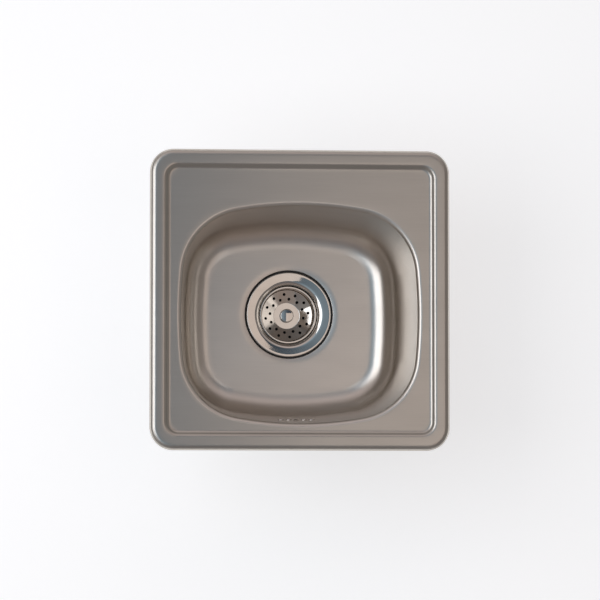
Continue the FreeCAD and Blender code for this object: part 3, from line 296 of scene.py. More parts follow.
# Width of the strip next to a rounding, as a share of the rounding's reach
STRIP = 0.4
ROUNDING_STEPS = 3
DRILL_SIDES = 40
# Half the width of a thread's ridge at its foot and at its crest, as a share of the pitch
THREAD_FOOT = 0.49
THREAD_CREST = 0.07


def new_object(name: str, points: np.ndarray, faces: Sequence[Sequence[int]]) -> Object:
    """Make a mesh object.

    Args:
        name: the object's name.
        points: its points in millimetres.
        faces: point numbers of each face.

    Returns:
        The object, linked to the scene.
    """
    mesh = bpy.data.meshes.new(name)
    mesh.from_pydata((np.asarray(points, float) * MM).tolist(), [], [list(f) for f in faces])
    made = bpy.data.objects.new(name, mesh)
    bpy.context.scene.collection.objects.link(made)
    return made


def edit(piece: Object, change: Callable[[Mesh], None]) -> None:
    """Change a piece's mesh in place.

    Args:
        piece: the object.
        change: what is done to its mesh.
    """
    mesh = bmesh.new()
    mesh.from_mesh(piece.data)
    change(mesh)
    mesh.to_mesh(piece.data)
    mesh.free()


def face_outwards(mesh: Mesh) -> None:
    """Turn every face to the outside of its closed skin."""
    bmesh.ops.recalc_face_normals(mesh, faces=mesh.faces)


def smooth(piece: Object) -> None:
    """Shade a piece smoothly between its creases."""
    piece.data.shade_smooth()
    piece.data.set_sharp_from_angle(angle=CREASE)


def settle(piece: Object) -> None:
    """Turn a piece's modifiers into its mesh.

    Args:
        piece: the object.
    """
    graph = bpy.context.evaluated_depsgraph_get()
    mesh = bpy.data.meshes.new_from_object(
        piece.evaluated_get(graph), preserve_all_data_layers=True, depsgraph=graph)
    piece.modifiers.clear()
    piece.data = mesh


def carve(piece: Object, tool: Object) -> None:
    """Cut a tool out of a piece and drop the tool.

    Args:
        piece: the object that changes.
        tool: a closed mesh.
    """
    step = piece.modifiers.new("carve", "BOOLEAN")
    step.operation = "DIFFERENCE"
    step.object = tool
    step.solver = "MANIFOLD"
    settle(piece)
    bpy.data.objects.remove(tool)


def dress(piece: Object, slot: Slot, body: str, nodes: Sequence[str] = ()) -> Object:
    """Give a piece its finish, its body and the CAD nodes that it stands for.

    Args:
        piece: the object.
        slot: the record's material slot.
        body: the CAD body that it rides on.
        nodes: the CAD nodes that it replaces.

    Returns:
        The piece.
    """
    if not any(piece.data.materials):
        piece.data.materials.clear()
        piece.data.materials.append(MATERIALS[slot])
    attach(piece, body)
    if nodes:
        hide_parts(*nodes)
    log.info("%s on %s in %s, %d faces", piece.name, body, slot.value, len(piece.data.polygons))
    return piece


class Path:
    """A section drawn point by point."""

    def __init__(self, x: float, y: float) -> None:
        """Start at a point."""
        self.points: list[Point] = [(x, y)]

    def line(self, x: float, y: float, steps: int = 1) -> "Path":
        """Go straight to a point.

        Args:
            x: first coordinate.
            y: second coordinate.
            steps: how many parts the line is made of.

        Returns:
            The path itself.
        """
        x0, y0 = self.points[-1]
        for k in range(1, steps + 1):
            share = k / steps
            self.points.append((x0 + (x - x0) * share, y0 + (y - y0) * share))
        return self

    def arc(self, x: float, y: float, radius: float, side: int, steps: int = 8) -> "Path":
        """Go round to a point.

        Args:
            x: first coordinate.
            y: second coordinate.
            radius: the arc's radius.
            side: 1 when it turns left and -1 when it turns right.
            steps: how many parts the arc is made of.

        Returns:
            The path itself.
        """
        x0, y0 = self.points[-1]
        dx, dy = x - x0, y - y0
        chord = hypot(dx, dy)
        rise = sqrt(max(radius ** 2 - chord ** 2 / 4, 0))
        cx = (x0 + x) / 2 - dy / chord * rise * side
        cy = (y0 + y) / 2 + dx / chord * rise * side
        begin = atan2(y0 - cy, x0 - cx)
        turn = 2 * asin(min(chord / 2 / radius, 1)) * side
        for k in range(1, steps + 1):
            angle = begin + turn * k / steps
            self.points.append((cx + radius * cos(angle), cy + radius * sin(angle)))
        return self


def softened(points: Sequence[Point], radius: float, closed: bool = True,
             steps: int = 4) -> list[Point]:
    """Round the corners of a section, with a narrow strip of each straight next to the rounding.

    Args:
        points: the section's corners in order.
        radius: how large the rounding is where there is room for it.
        closed: whether the last point joins the first.
        steps: how many parts each rounding is made of.

    Returns:
        The new section.
    """
    result: list[Point] = []
    count = len(points)
    for i, here in enumerate(points):
        p = Vector(here)
        back, ahead = Vector(points[i - 1]) - p, Vector(points[(i + 1) % count]) - p
        turn = pi - back.angle(ahead, pi)
        is_end = not closed and i in (0, count - 1)
        if turn < CORNER or is_end or abs(here[0]) < ON_AXIS:
            result.append(here)
            continue
        room = min(radius * tan(turn / 2), back.length / 3, ahead.length / 3)
        a, b = p + back.normalized() * room, p + ahead.normalized() * room
        result.append(tuple(a + back.normalized() * room * STRIP))
        for k in range(steps + 1):
            t = k / steps
            result.append(tuple(a * (1 - t) ** 2 + p * (2 * t * (1 - t)) + b * t ** 2))
        result.append(tuple(b + ahead.normalized() * room * STRIP))
    return result


def skin(name: str, rings: Sequence[np.ndarray], closed: bool = False) -> Object:
    """Join rings of points by faces.

    Args:
        name: the object's name.
        rings: rows of x, y and z in millimetres, as many in each ring.
        closed: whether the last ring joins the first.

    Returns:
        The object.
    """
    count = len(rings[0])
    pairs = [(k, (k + 1) % len(rings)) for k in range(len(rings) if closed else len(rings) - 1)]
    faces = [(one * count + i, one * count + (i + 1) % count, other * count + (i + 1) % count,
              other * count + i) for one, other in pairs for i in range(count)]
    return new_object(name, np.concatenate(rings), faces)


Ripple = Callable[[float, float], float]


def lathe(name: str, section: Sequence[Point], at: Sequence[float] = (0, 0, 0), segments: int = 120,
          ripple: Ripple | None = None) -> Object:
    """Turn a closed section about the Z axis.

    Args:
        name: the object's name.
        section: radius and height of each corner; corners on the axis become poles.
        at: where the section's origin goes.
        segments: how many parts a whole turn is made of.
        ripple: what is added to the radius, from the angle and the radius.

    Returns:
        The object.
    """
    points: list[tuple[float, float, float]] = []
    rings: list[list[int]] = []
    for radius, height in section:
        start = len(points)
        if radius < ON_AXIS:
            points.append((at[0], at[1], at[2] + height))
            rings.append([start] * segments)
            continue
        for k in range(segments):
            angle = tau * k / segments
            reach = radius + (ripple(angle, radius) if ripple else 0)
            points.append((at[0] + reach * cos(angle), at[1] + reach * sin(angle),
                           at[2] + height))
        rings.append(list(range(start, start + segments)))
    faces = []
    for one, other in zip(rings, rings[1:] + rings[:1]):
        for k in range(segments):
            after = (k + 1) % segments
            corners = list(dict.fromkeys((one[k], one[after], other[after], other[k])))
            if len(corners) > 2:
                faces.append(corners)
    made = new_object(name, np.array(points), faces)
    edit(made, face_outwards)
    smooth(made)
    return made


def rods(name: str, radius: float, length: float, places: Sequence[Matrix]) -> Object:
    """Plain round tools for drilling.

    Args:
        name: the object's name.
        radius: the rods' radius.
        length: the rods' length, half to each side of their places.
        places: one transform in millimetres for each rod, along its own Z.

    Returns:
        One object with all rods.
    """
    points, faces = [], []
    sides = DRILL_SIDES
    for place in places:
        start = len(points)
        for end in (-length / 2, length / 2):
            for k in range(sides):
                angle = tau * k / sides
                spot = place @ Vector((radius * cos(angle), radius * sin(angle), end))
                points.append(tuple(spot))
        foot = list(range(start, start + sides))
        top = list(range(start + sides, start + 2 * sides))
        faces += [foot[::-1], top]
        faces += [(foot[k], foot[(k + 1) % sides], top[(k + 1) % sides], top[k]) for k in range(sides)]
    made = new_object(name, np.array(points), faces)
    edit(made, face_outwards)
    return made


def thread(name: str, root: float, crest: float, pitch: float, foot: float, top: float,
           segments: int = 28) -> Object:
    """A screw thread round the Z axis, closed all round, that fades in at both ends.

    Args:
        name: the object's name.
        root: radius at the bottom of the groove.
        crest: radius at the top of the ridge.
        pitch: rise in one turn.
        foot: lowest height.
        top: highest height.
        segments: how many parts a whole turn is made of.

    Returns:
        The object.
    """
    count = int((top - foot - pitch) / pitch * segments)
    sunk = root - (crest - root) / 2
    rings = []
    for k in range(count + 1):
        angle = tau * k / segments
        middle = foot + pitch / 2 + (top - foot - pitch) * k / count
        fade = min(1.0, k / segments * 2, (count - k) / segments * 2)
        peak = root + (crest - root) * fade
        ridge = [(sunk, -THREAD_FOOT), (root, -THREAD_FOOT), (peak, -THREAD_CREST),
                 (peak, THREAD_CREST), (root, THREAD_FOOT), (sunk, THREAD_FOOT)]
        rings.append(np.array([(radius * cos(angle), radius * sin(angle),
                                middle + pitch * shift) for radius, shift in ridge]))
    made = skin(name, rings)

    def close(mesh: Mesh) -> None:
        """Close both ends of the ridge."""
        bmesh.ops.holes_fill(mesh, edges=mesh.edges)
        face_outwards(mesh)

    edit(made, close)
    smooth(made)
    return made


def tiled(name: str, sources: Sequence[Object], places: Sequence[Sequence[float]]) -> Object:
    """Copies of a few meshes in several places, as one object.

    Args:
        name: the object's name.
        sources: what is copied; these objects are dropped.
        places: where each copy goes.

    Returns:
        The object.
    """
    points, faces = [], []
    for place in places:
        for source in sources:
            start = len(points)
            points += [v.co / MM + Vector(place) for v in source.data.vertices]
            faces += [[c + start for c in p.vertices] for p in source.data.polygons]
    for source in sources:
        bpy.data.objects.remove(source)
    made = new_object(name, np.array(points), faces)
    smooth(made)
    return made


def rounded_copy(node: str, name: str, radius: float) -> Object:
    """A copy of a CAD node with its corners rounded.

    Args:
        node: the CAD node.
        name: the copy's name.
        radius: how far the rounding reaches from each corner.

    Returns:
        The copy.
    """
    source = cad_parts[node].data
    points = np.array([v.co for v in source.vertices]) / MM
    made = new_object(name, points, [p.vertices[:] for p in source.polygons])

    def soften(mesh: Mesh) -> None:
        """Merge the node's triangles to flats, then round the corners between them.

        Args:
            mesh: the copy's mesh.
        """
        bmesh.ops.remove_doubles(mesh, verts=mesh.verts, dist=WELD)
        bmesh.ops.dissolve_limit(mesh, angle_limit=FLAT, verts=mesh.verts, edges=mesh.edges)
        corners = [e for e in mesh.edges if e.is_manifold and e.calc_face_angle() > CREASE]
        bmesh.ops.bevel(mesh, geom=corners, offset=radius * MM, offset_type="OFFSET",
                        segments=ROUNDING_STEPS, profile=0.5, affect="EDGES", clamp_overlap=True)
        face_outwards(mesh)

    edit(made, soften)
    smooth(made)
    weigh = made.modifiers.new("flats", "WEIGHTED_NORMAL")
    weigh.keep_sharp = True
    return made


def show_rounded(node: str, name: str, radius: float, slot: Slot, body: str = "sink") -> None:
    """Show a CAD node as a copy with rounded corners, in a material slot and on a body."""
    dress(rounded_copy(node, name, radius), slot, body, [node])


# The bowl unit


class Outline(Enum):
    """The outlines that the pressing runs through, from the rim to the waste."""

    RIM = "the rim's square"
    STEP = "the step's square"
    BOWL = "the bowl's bowed outline"
    WASTE = "circles round the waste"


@dataclass
class Station:
    """One ring of the pressing's upper face."""

    kind: Outline
    reach: float
    height: float


@dataclass
class BowlUnit:
    """The pressed sheet with its foam strip and damping pads."""

    sheet: float = 0.8
    rim_half: float = 190
    rim_corner: float = 30
    rim_top: float = 8
    rim_roll: float = 6.5
    rim_roll_width: float = 8
    step_inset: float = 21.3
    step_corner: float = 15
    step_bend: float = 6
    step_drop: float = 4.5
    bowl_half_x: float = 155.25
    bowl_half_y: float = 142.75
    bowl_y: float = -18.2
    side_bow: float = 600
    end_bow: float = 450
    bowl_corner: float = 88
    bowl_depth: float = 150
    top_roll: float = 6
    draft: float = radians(5.8)
    floor_bend: float = 32
    dish_radius: float = 66
    dish_drop: float = 0.8
    recess_radius: float = 57.5
    recess_slant: float = 0.5
    recess_drop: float = 3.2
    recess_bend: float = 1
    overflow_hole: float = 3.1
    overflow_drill: float = 6.4
    overflow_pitch: float = 9.8
    overflow_depth: float = 52
    overflow_count: int = 5
    collar_width: float = 1.1
    collar_rise: float = 1.1
    collar_softness: float = 0.3
    strip_softness: float = 0.8
    pad_glue: float = 0.3
    pad_thickness: float = 2
    pad_edge_share: float = 0.6
    pad_top: float = 40
    pad_foot: float = 112
    pad_length: float = 120
    pad_groove: float = 0.5
    pad_groove_fade: float = 3
    pad_groove_share: float = 1 / 6
    pad_pitch: float = 9
    pad_grid: float = 1
    side_steps: int = 24
    corner_steps: int = 44
    rim_steps: int = 12
    step_steps: int = 6
    mouth_steps: int = 10
    wall_steps: int = 30
    bend_steps: int = 18
    dish_steps: int = 10
    recess_steps: int = 5
    join_steps: tuple[int, ...] = (1, 3, 12, 12)

    @property
    def deck(self) -> float:
        """Height of the deck."""
        return self.rim_top - self.step_drop

    @property
    def bend_fall(self) -> float:
        """How far the bend between wall and floor falls."""
        return self.floor_bend * (1 - sin(self.draft))

    def wall_inset(self, depth: float | np.ndarray) -> float | np.ndarray:
        """How far the wall lies inside the bowl's mouth at a depth below the deck."""
        fall = self.top_roll * (1 - sin(self.draft))
        return self.top_roll * cos(self.draft) + (depth - fall) * tan(self.draft)

    def quartered(self, quarter: Sequence[Point]) -> np.ndarray:
        """Mirror a quarter of an outline to the whole of it.

        Args:
            quarter: points from the +X axis to the +Y axis, both ends included.

        Returns:
            The points of the whole outline as rows.
        """
        points = np.array(quarter)
        back = points[::-1]
        parts = [points, back * (-1, 1), -points, back * (1, -1)]
        return np.concatenate([part[:-1] for part in parts])

    def square(self, half: float, corner: float) -> np.ndarray:
        """A square with round corners.

        Args:
            half: half its width.
            corner: its corner radius.

        Returns:
            The points as rows.
        """
        flat = half - corner
        path = Path(half, 0).line(half, flat, self.side_steps)
        path.arc(flat, half, corner, 1, self.corner_steps).line(0, half, self.side_steps)
        return self.quartered(path.points)

    def bowl(self, inset: float) -> np.ndarray:
        """The bowl's outline: bowed sides and ends joined by round corners.

        Args:
            inset: how far inside the bowl's mouth it runs.

        Returns:
            The points as rows.
        """
        side_x, end_y = self.bowl_half_x - self.side_bow, self.bowl_half_y - self.end_bow
        from_side, from_end = self.side_bow - self.bowl_corner, self.end_bow - self.bowl_corner
        apart = hypot(side_x, end_y)
        along = (from_side ** 2 - from_end ** 2 + apart ** 2) / (2 * apart)
        across = sqrt(from_side ** 2 - along ** 2)
        ux, uy = -side_x / apart, end_y / apart
        cx, cy = side_x + along * ux - across * uy, along * uy + across * ux
        side_tilt, end_tilt = atan2(cy, cx - side_x), atan2(cy - end_y, cx)
        side, end = self.side_bow - inset, self.end_bow - inset
        path = Path(side_x + side, 0)
        path.arc(side_x + side * cos(side_tilt), side * sin(side_tilt), side, 1,
                 self.side_steps)
        path.arc(end * cos(end_tilt), end_y + end * sin(end_tilt),
                 self.bowl_corner - inset, 1, self.corner_steps)
        path.arc(0, end_y + end, end, 1, self.side_steps)
        return self.quartered(path.points) + (0, self.bowl_y)

    def outline(self, station: Station) -> np.ndarray:
        """The points of one ring.

        Args:
            station: which ring.

        Returns:
            Rows of x, y and z.
        """
        if station.kind is Outline.RIM:
            flat = self.square(self.rim_half - station.reach, self.rim_corner - station.reach)
        elif station.kind is Outline.STEP:
            flat = self.square(self.rim_half - self.step_inset + station.reach,
                               self.step_corner + station.reach)
        elif station.kind is Outline.BOWL:
            flat = self.bowl(-station.reach)
        else:
            middle = np.array((0, WASTE_Y))
            away = self.bowl(self.floor_inset()) - middle
            away /= np.linalg.norm(away, axis=1)[:, None]
            flat = middle + away * station.reach
        return np.column_stack([flat, np.full(len(flat), station.height)])

    def floor_inset(self) -> float:
        """How far inside the bowl's mouth the flat floor begins."""
        wall = self.wall_inset(self.bowl_depth - self.bend_fall)
        return wall + self.floor_bend * cos(self.draft)

    def stations(self) -> list[list[Station]]:
        """Draw each stretch of the pressing, from the rim's lower edge to the waste hole.

        Returns:
            The rings of each stretch.
        """
        run = sqrt(4 * self.step_bend * self.step_drop - self.step_drop ** 2)
        floor = self.deck - self.bowl_depth
        edge = Path(0, 0).line(0, self.rim_top - self.rim_roll)
        for k in range(1, self.rim_steps + 1):
            turn = pi / 2 * k / self.rim_steps
            edge.line(self.rim_roll_width * (1 - cos(turn)),
                      self.rim_top - self.rim_roll * (1 - sin(turn)))
        step = Path(run / 2, self.rim_top)
        step.arc(0, self.rim_top - self.step_drop / 2, self.step_bend, 1, self.step_steps)
        step.arc(-run / 2, self.deck, self.step_bend, -1, self.step_steps)
        wall = Path(0, self.deck)
        wall.arc(-self.top_roll * cos(self.draft),
                 self.deck - self.top_roll * (1 - sin(self.draft)), self.top_roll, 1,
                 self.mouth_steps)
        wall.line(-self.wall_inset(self.bowl_depth - self.bend_fall), floor + self.bend_fall,
                  self.wall_steps)
        wall.arc(-self.floor_inset(), floor, self.floor_bend, -1, self.bend_steps)
        dish_run = self.dish_radius - self.recess_radius
        dish_bend = (dish_run ** 2 + self.dish_drop ** 2) / (2 * self.dish_drop)
        low = floor - self.dish_drop - self.recess_drop
        dish = Path(self.dish_radius, floor)
        dish.arc(self.recess_radius, floor - self.dish_drop, dish_bend, 1, self.dish_steps)
        dish.line(self.recess_radius - self.recess_slant, low).line(WASTE_HOLE, low)
        dish.points = softened(dish.points, self.recess_bend, closed=False, steps=self.recess_steps)
        return [
            [Station(Outline.RIM, x, z) for x, z in edge.points],
            [Station(Outline.STEP, x, z) for x, z in step.points],
            [Station(Outline.BOWL, x, z) for x, z in wall.points],
            [Station(Outline.WASTE, r, z) for r, z in dish.points],
        ]

    def build_shell(self) -> Object:
        """Build the pressed sheet with its thickness and overflow holes.

        Returns:
            The piece.
        """
        rings: list[np.ndarray] = []
        walls: list[range] = []
        for stretch, steps in zip(self.stations(), self.join_steps):
            if rings:
                before, after = rings[-1], self.outline(stretch[0])
                rings += [before + (after - before) * k / steps for k in range(1, steps)]
            start = len(rings)
            rings += [self.outline(station) for station in stretch]
            if stretch[0].kind in (Outline.RIM, Outline.BOWL):
                walls.append(range(start, len(rings)))
        shell = skin("sink_pressing", rings)
        self.map_brushing(shell, rings, walls)
        thick = shell.modifiers.new("sheet", "SOLIDIFY")
        thick.thickness = self.sheet * MM
        thick.offset = -1
        thick.use_even_offset = True
        thick.material_offset = 1
        underside = ROLLED_STEEL.material()
        for finish in (MATERIALS[Slot.PRESSED], underside, BOWL_STEEL_PAINTED_BRIGHTER.material(), underside):
            shell.data.materials.append(finish)
        # The bowl's faces get the brighter copy of the brushed sheet, which is painted light
        for face in shell.data.polygons[walls[-1].start * len(rings[0]):]:
            face.material_index = 2
        settle(shell)
        carve(shell, rods("overflow_drills", self.overflow_hole, self.overflow_drill,
                          self.hole_places()))
        smooth(shell)
        return dress(shell, Slot.PRESSED, "sink", ["sink_shell"])

    def hole_places(self) -> list[Matrix]:
        """Where the overflow holes go.

        Returns:
            One transform in millimetres for each hole, with its Z square to the front wall.
        """
        y = self.bowl_y - self.bowl_half_y + self.wall_inset(self.overflow_depth)
        middle = (self.overflow_count - 1) / 2
        turn = Matrix.Rotation(self.draft - pi / 2, 4, "X")
        return [Matrix.Translation(((k - middle) * self.overflow_pitch, y,
                                    self.deck - self.overflow_depth)) @ turn
                for k in range(self.overflow_count)]

    def build_collars(self) -> None:
        """Build the raised collars of the open overflow holes; the middle one holds the screw."""
        inner, rise = self.overflow_hole, self.collar_rise
        outer = inner + self.collar_width
        path = Path(inner, -self.sheet / 2).line(outer, -self.sheet / 2)
        path.line(outer, rise).line(inner, rise)
        for number, place in enumerate(self.hole_places()):
            if number == self.overflow_count // 2:
                continue
            collar = lathe(f"overflow_collar_{number}", softened(path.points, self.collar_softness),
                           segments=48)
            place.translation *= MM
            collar.data.transform(place)
            collar.data.materials.append(MATERIALS[Slot.POLISHED])
            dress(collar, Slot.PRESSED, "sink")

    def map_brushing(self, shell: Object, rings: list[np.ndarray], walls: list[range]) -> None:
        """Lay the brushing along X, as on the flat sheet before it was pressed.

        Args:
            shell: the piece, with one face row for each pair of rings.
            rings: its rings.
            walls: the runs of rings that are steep, unfolded here into the plane of the sheet.
        """
        count = len(rings[0])
        flat = [ring[:, :2] for ring in rings]
        unfolded = dict(enumerate(zip(flat, flat[1:])))
        for wall in walls:
            inwards = flat[wall[-1]] - flat[wall[0]]
            inwards /= np.linalg.norm(inwards, axis=1)[:, None]
            spots = [flat[wall[0]]]
            for row in wall[:-1]:
                steps = np.linalg.norm(rings[row + 1] - rings[row], axis=1)[:, None]
                spots.append(spots[-1] + inwards * steps)
                unfolded[row] = (spots[-2], spots[-1])
        layer = shell.data.uv_layers.new(name=BRUSH_MAP)
        for face in shell.data.polygons:
            row, column = divmod(face.index, count)
            for loop, (side, along) in zip(face.loop_indices, ((0, 0), (0, 1), (1, 1), (1, 0))):
                layer.data[loop].uv = unfolded[row][side][(column + along) % count] * MM

    def build_pad(self, side: str, sense: int) -> Object:
        """Build a damping pad, pressed with a diamond pattern.

        Args:
            side: its side's name.
            sense: 1 on the right and -1 on the left.

        Returns:
            The piece.
        """
        half, height = self.pad_length / 2, self.pad_foot - self.pad_top
        along = np.linspace(-half, half, round(self.pad_length / self.pad_grid) + 1)
        down = np.linspace(self.pad_top, self.pad_foot, round(height / self.pad_grid) + 1)
        u, depth = np.meshgrid(along, down, indexing="ij")
        back = self.side_bow - self.wall_inset(depth) + self.sheet / cos(self.draft) + self.pad_glue
        edge = np.minimum(half - abs(u), np.minimum(depth - self.pad_top, self.pad_foot - depth))
        lines = [np.abs(np.mod((u + s * depth) / self.pad_pitch, 1) - 0.5) for s in (1, -1)]
        groove = np.clip(1 - np.minimum(*lines) / self.pad_groove_share, 0, 1)
        groove *= np.clip(edge / self.pad_groove_fade, 0, 1)
        share = self.pad_edge_share + (1 - self.pad_edge_share) * np.clip(edge, 0, 1)
        thick = self.pad_thickness * share - self.pad_groove * groove

        def sheet(radius: np.ndarray) -> np.ndarray:
            """Bend one face of the pad round the wall.

            Args:
                radius: distance of each point from the middle of the wall's bow.

            Returns:
                A grid of points.
            """
            turn = u / self.side_bow
            x = self.bowl_half_x - self.side_bow + radius * np.cos(turn)
            return np.stack([sense * x, self.bowl_y + radius * np.sin(turn), self.deck - depth], -1)

        return dress(slab(f"damping_pad_{side}", sheet(back), sheet(back + thick)), Slot.PAD, "sink",
                     [f"sound_pad_{side}"])

    def build(self) -> None:
        """Build the sheet, the strip and the pads."""
        self.build_shell()
        self.build_collars()
        show_rounded("rim_seal", "foam_strip", self.strip_softness, Slot.FOAM)
        self.build_pad("right", 1)
        self.build_pad("left", -1)


def slab(name: str, inner: np.ndarray, outer: np.ndarray) -> Object:
    """A closed slab between two grids of points.

    Args:
        name: the object's name.
        inner: the grid of its inner face.
        outer: the grid of its outer face.

    Returns:
        The object.
    """
    rows, columns = inner.shape[:2]
    cells = [(i * columns + j, (i + 1) * columns + j, (i + 1) * columns + j + 1, i * columns + j + 1)
             for i in range(rows - 1) for j in range(columns - 1)]
    size = rows * columns
    border = [i * columns for i in range(rows)]
    border += [(rows - 1) * columns + j for j in range(1, columns)]
    border += [i * columns + columns - 1 for i in range(rows - 2, -1, -1)]
    border += list(range(columns - 2, 0, -1))
    faces = cells + [tuple(c + size for c in cell) for cell in cells]
    faces += [(a, b, b + size, a + size) for a, b in zip(border, border[1:] + border[:1])]
    made = new_object(name, np.concatenate([inner.reshape(-1, 3), outer.reshape(-1, 3)]), faces)
    edit(made, face_outwards)
    smooth(made)
    return made


# Rails and clips


@dataclass
class Fixings:
    """The rails under the rim and the eight clips that hang from them."""

    rail_softness: float = 0.35
    clip_softness: float = 0.5
    clip_out: float = 165.4
    clip_along: float = 100
    shelf: float = -10.8
    bolt_length: float = 50
    bolt_crest: float = 2.98
    bolt_root: float = 2.45
    bolt_pitch: float = 1
    head_radius: float = 5.4
    head_height: float = 4
    head_chamfer: float = 0.7
    tip_chamfer: float = 0.6
    shank_overlap: float = 0.5
    ridge_foot_gap: float = 0.3
    ridge_top_gap: float = 0.2

    def spots(self) -> list[tuple[float, float, float]]:
        """Where the bolts hang, two on each side.

        Returns:
            The middle of each head's underside.
        """
        found = []
        for turns in range(4):
            for end in (1, -1):
                x, y = self.clip_out, end * self.clip_along
                for _ in range(turns):
                    x, y = -y, x
                found.append((x, y, self.shelf))
        return found

    def hexagon(self, angle: float, radius: float) -> float:
        """Turn a round head into a hexagonal one.

        Args:
            angle: angle round the bolt.
            radius: the round head's radius there.

        Returns:
            What the hexagon lacks to its outer circle.
        """
        if radius < self.head_radius:
            return 0.0
        share = pi / 3
        return self.head_radius * (cos(share / 2) / cos(angle % share - share / 2) - 1)

    def build_bolts(self) -> None:
        """Build the eight bolts with their threads."""
        head, tip = self.head_radius, self.head_radius * cos(pi / 6)
        top = self.head_height
        cap = lathe("head", [(0, 0), (head, 0), (head, top - self.head_chamfer), (tip, top), (0, top)],
                    segments=48, ripple=self.hexagon)
        root, end, chamfer = self.bolt_root, -self.bolt_length, self.tip_chamfer
        shank = lathe("shank", [(0, end), (root - chamfer, end), (root, end + chamfer),
                                (root, self.shank_overlap), (0, self.shank_overlap)], segments=28)
        ridge = thread("ridge", root, self.bolt_crest, self.bolt_pitch, end + self.ridge_foot_gap,
                       -self.ridge_top_gap)
        bolts = tiled("hanger_bolts", [cap, shank, ridge], self.spots())
        dress(bolts, Slot.ZINC, "sink", ["clip_bolts"])

    def build(self) -> None:
        """Build the rails, bolts, claws and nuts."""
        for side in ("front", "back", "left", "right"):
            show_rounded(f"fixing_rail_{side}", f"folded_rail_{side}", self.rail_softness,
                         Slot.GALVANISED)
        self.build_bolts()
        for number in range(1, 9):
            for kind, title in (("claw", "stamped_claw"), ("nut", "wing_nut")):
                show_rounded(f"clip_{kind}_{number}", f"{title}_{number}", self.clip_softness,
                             Slot.ZINC, f"{kind}_{number}")


# The basket waste


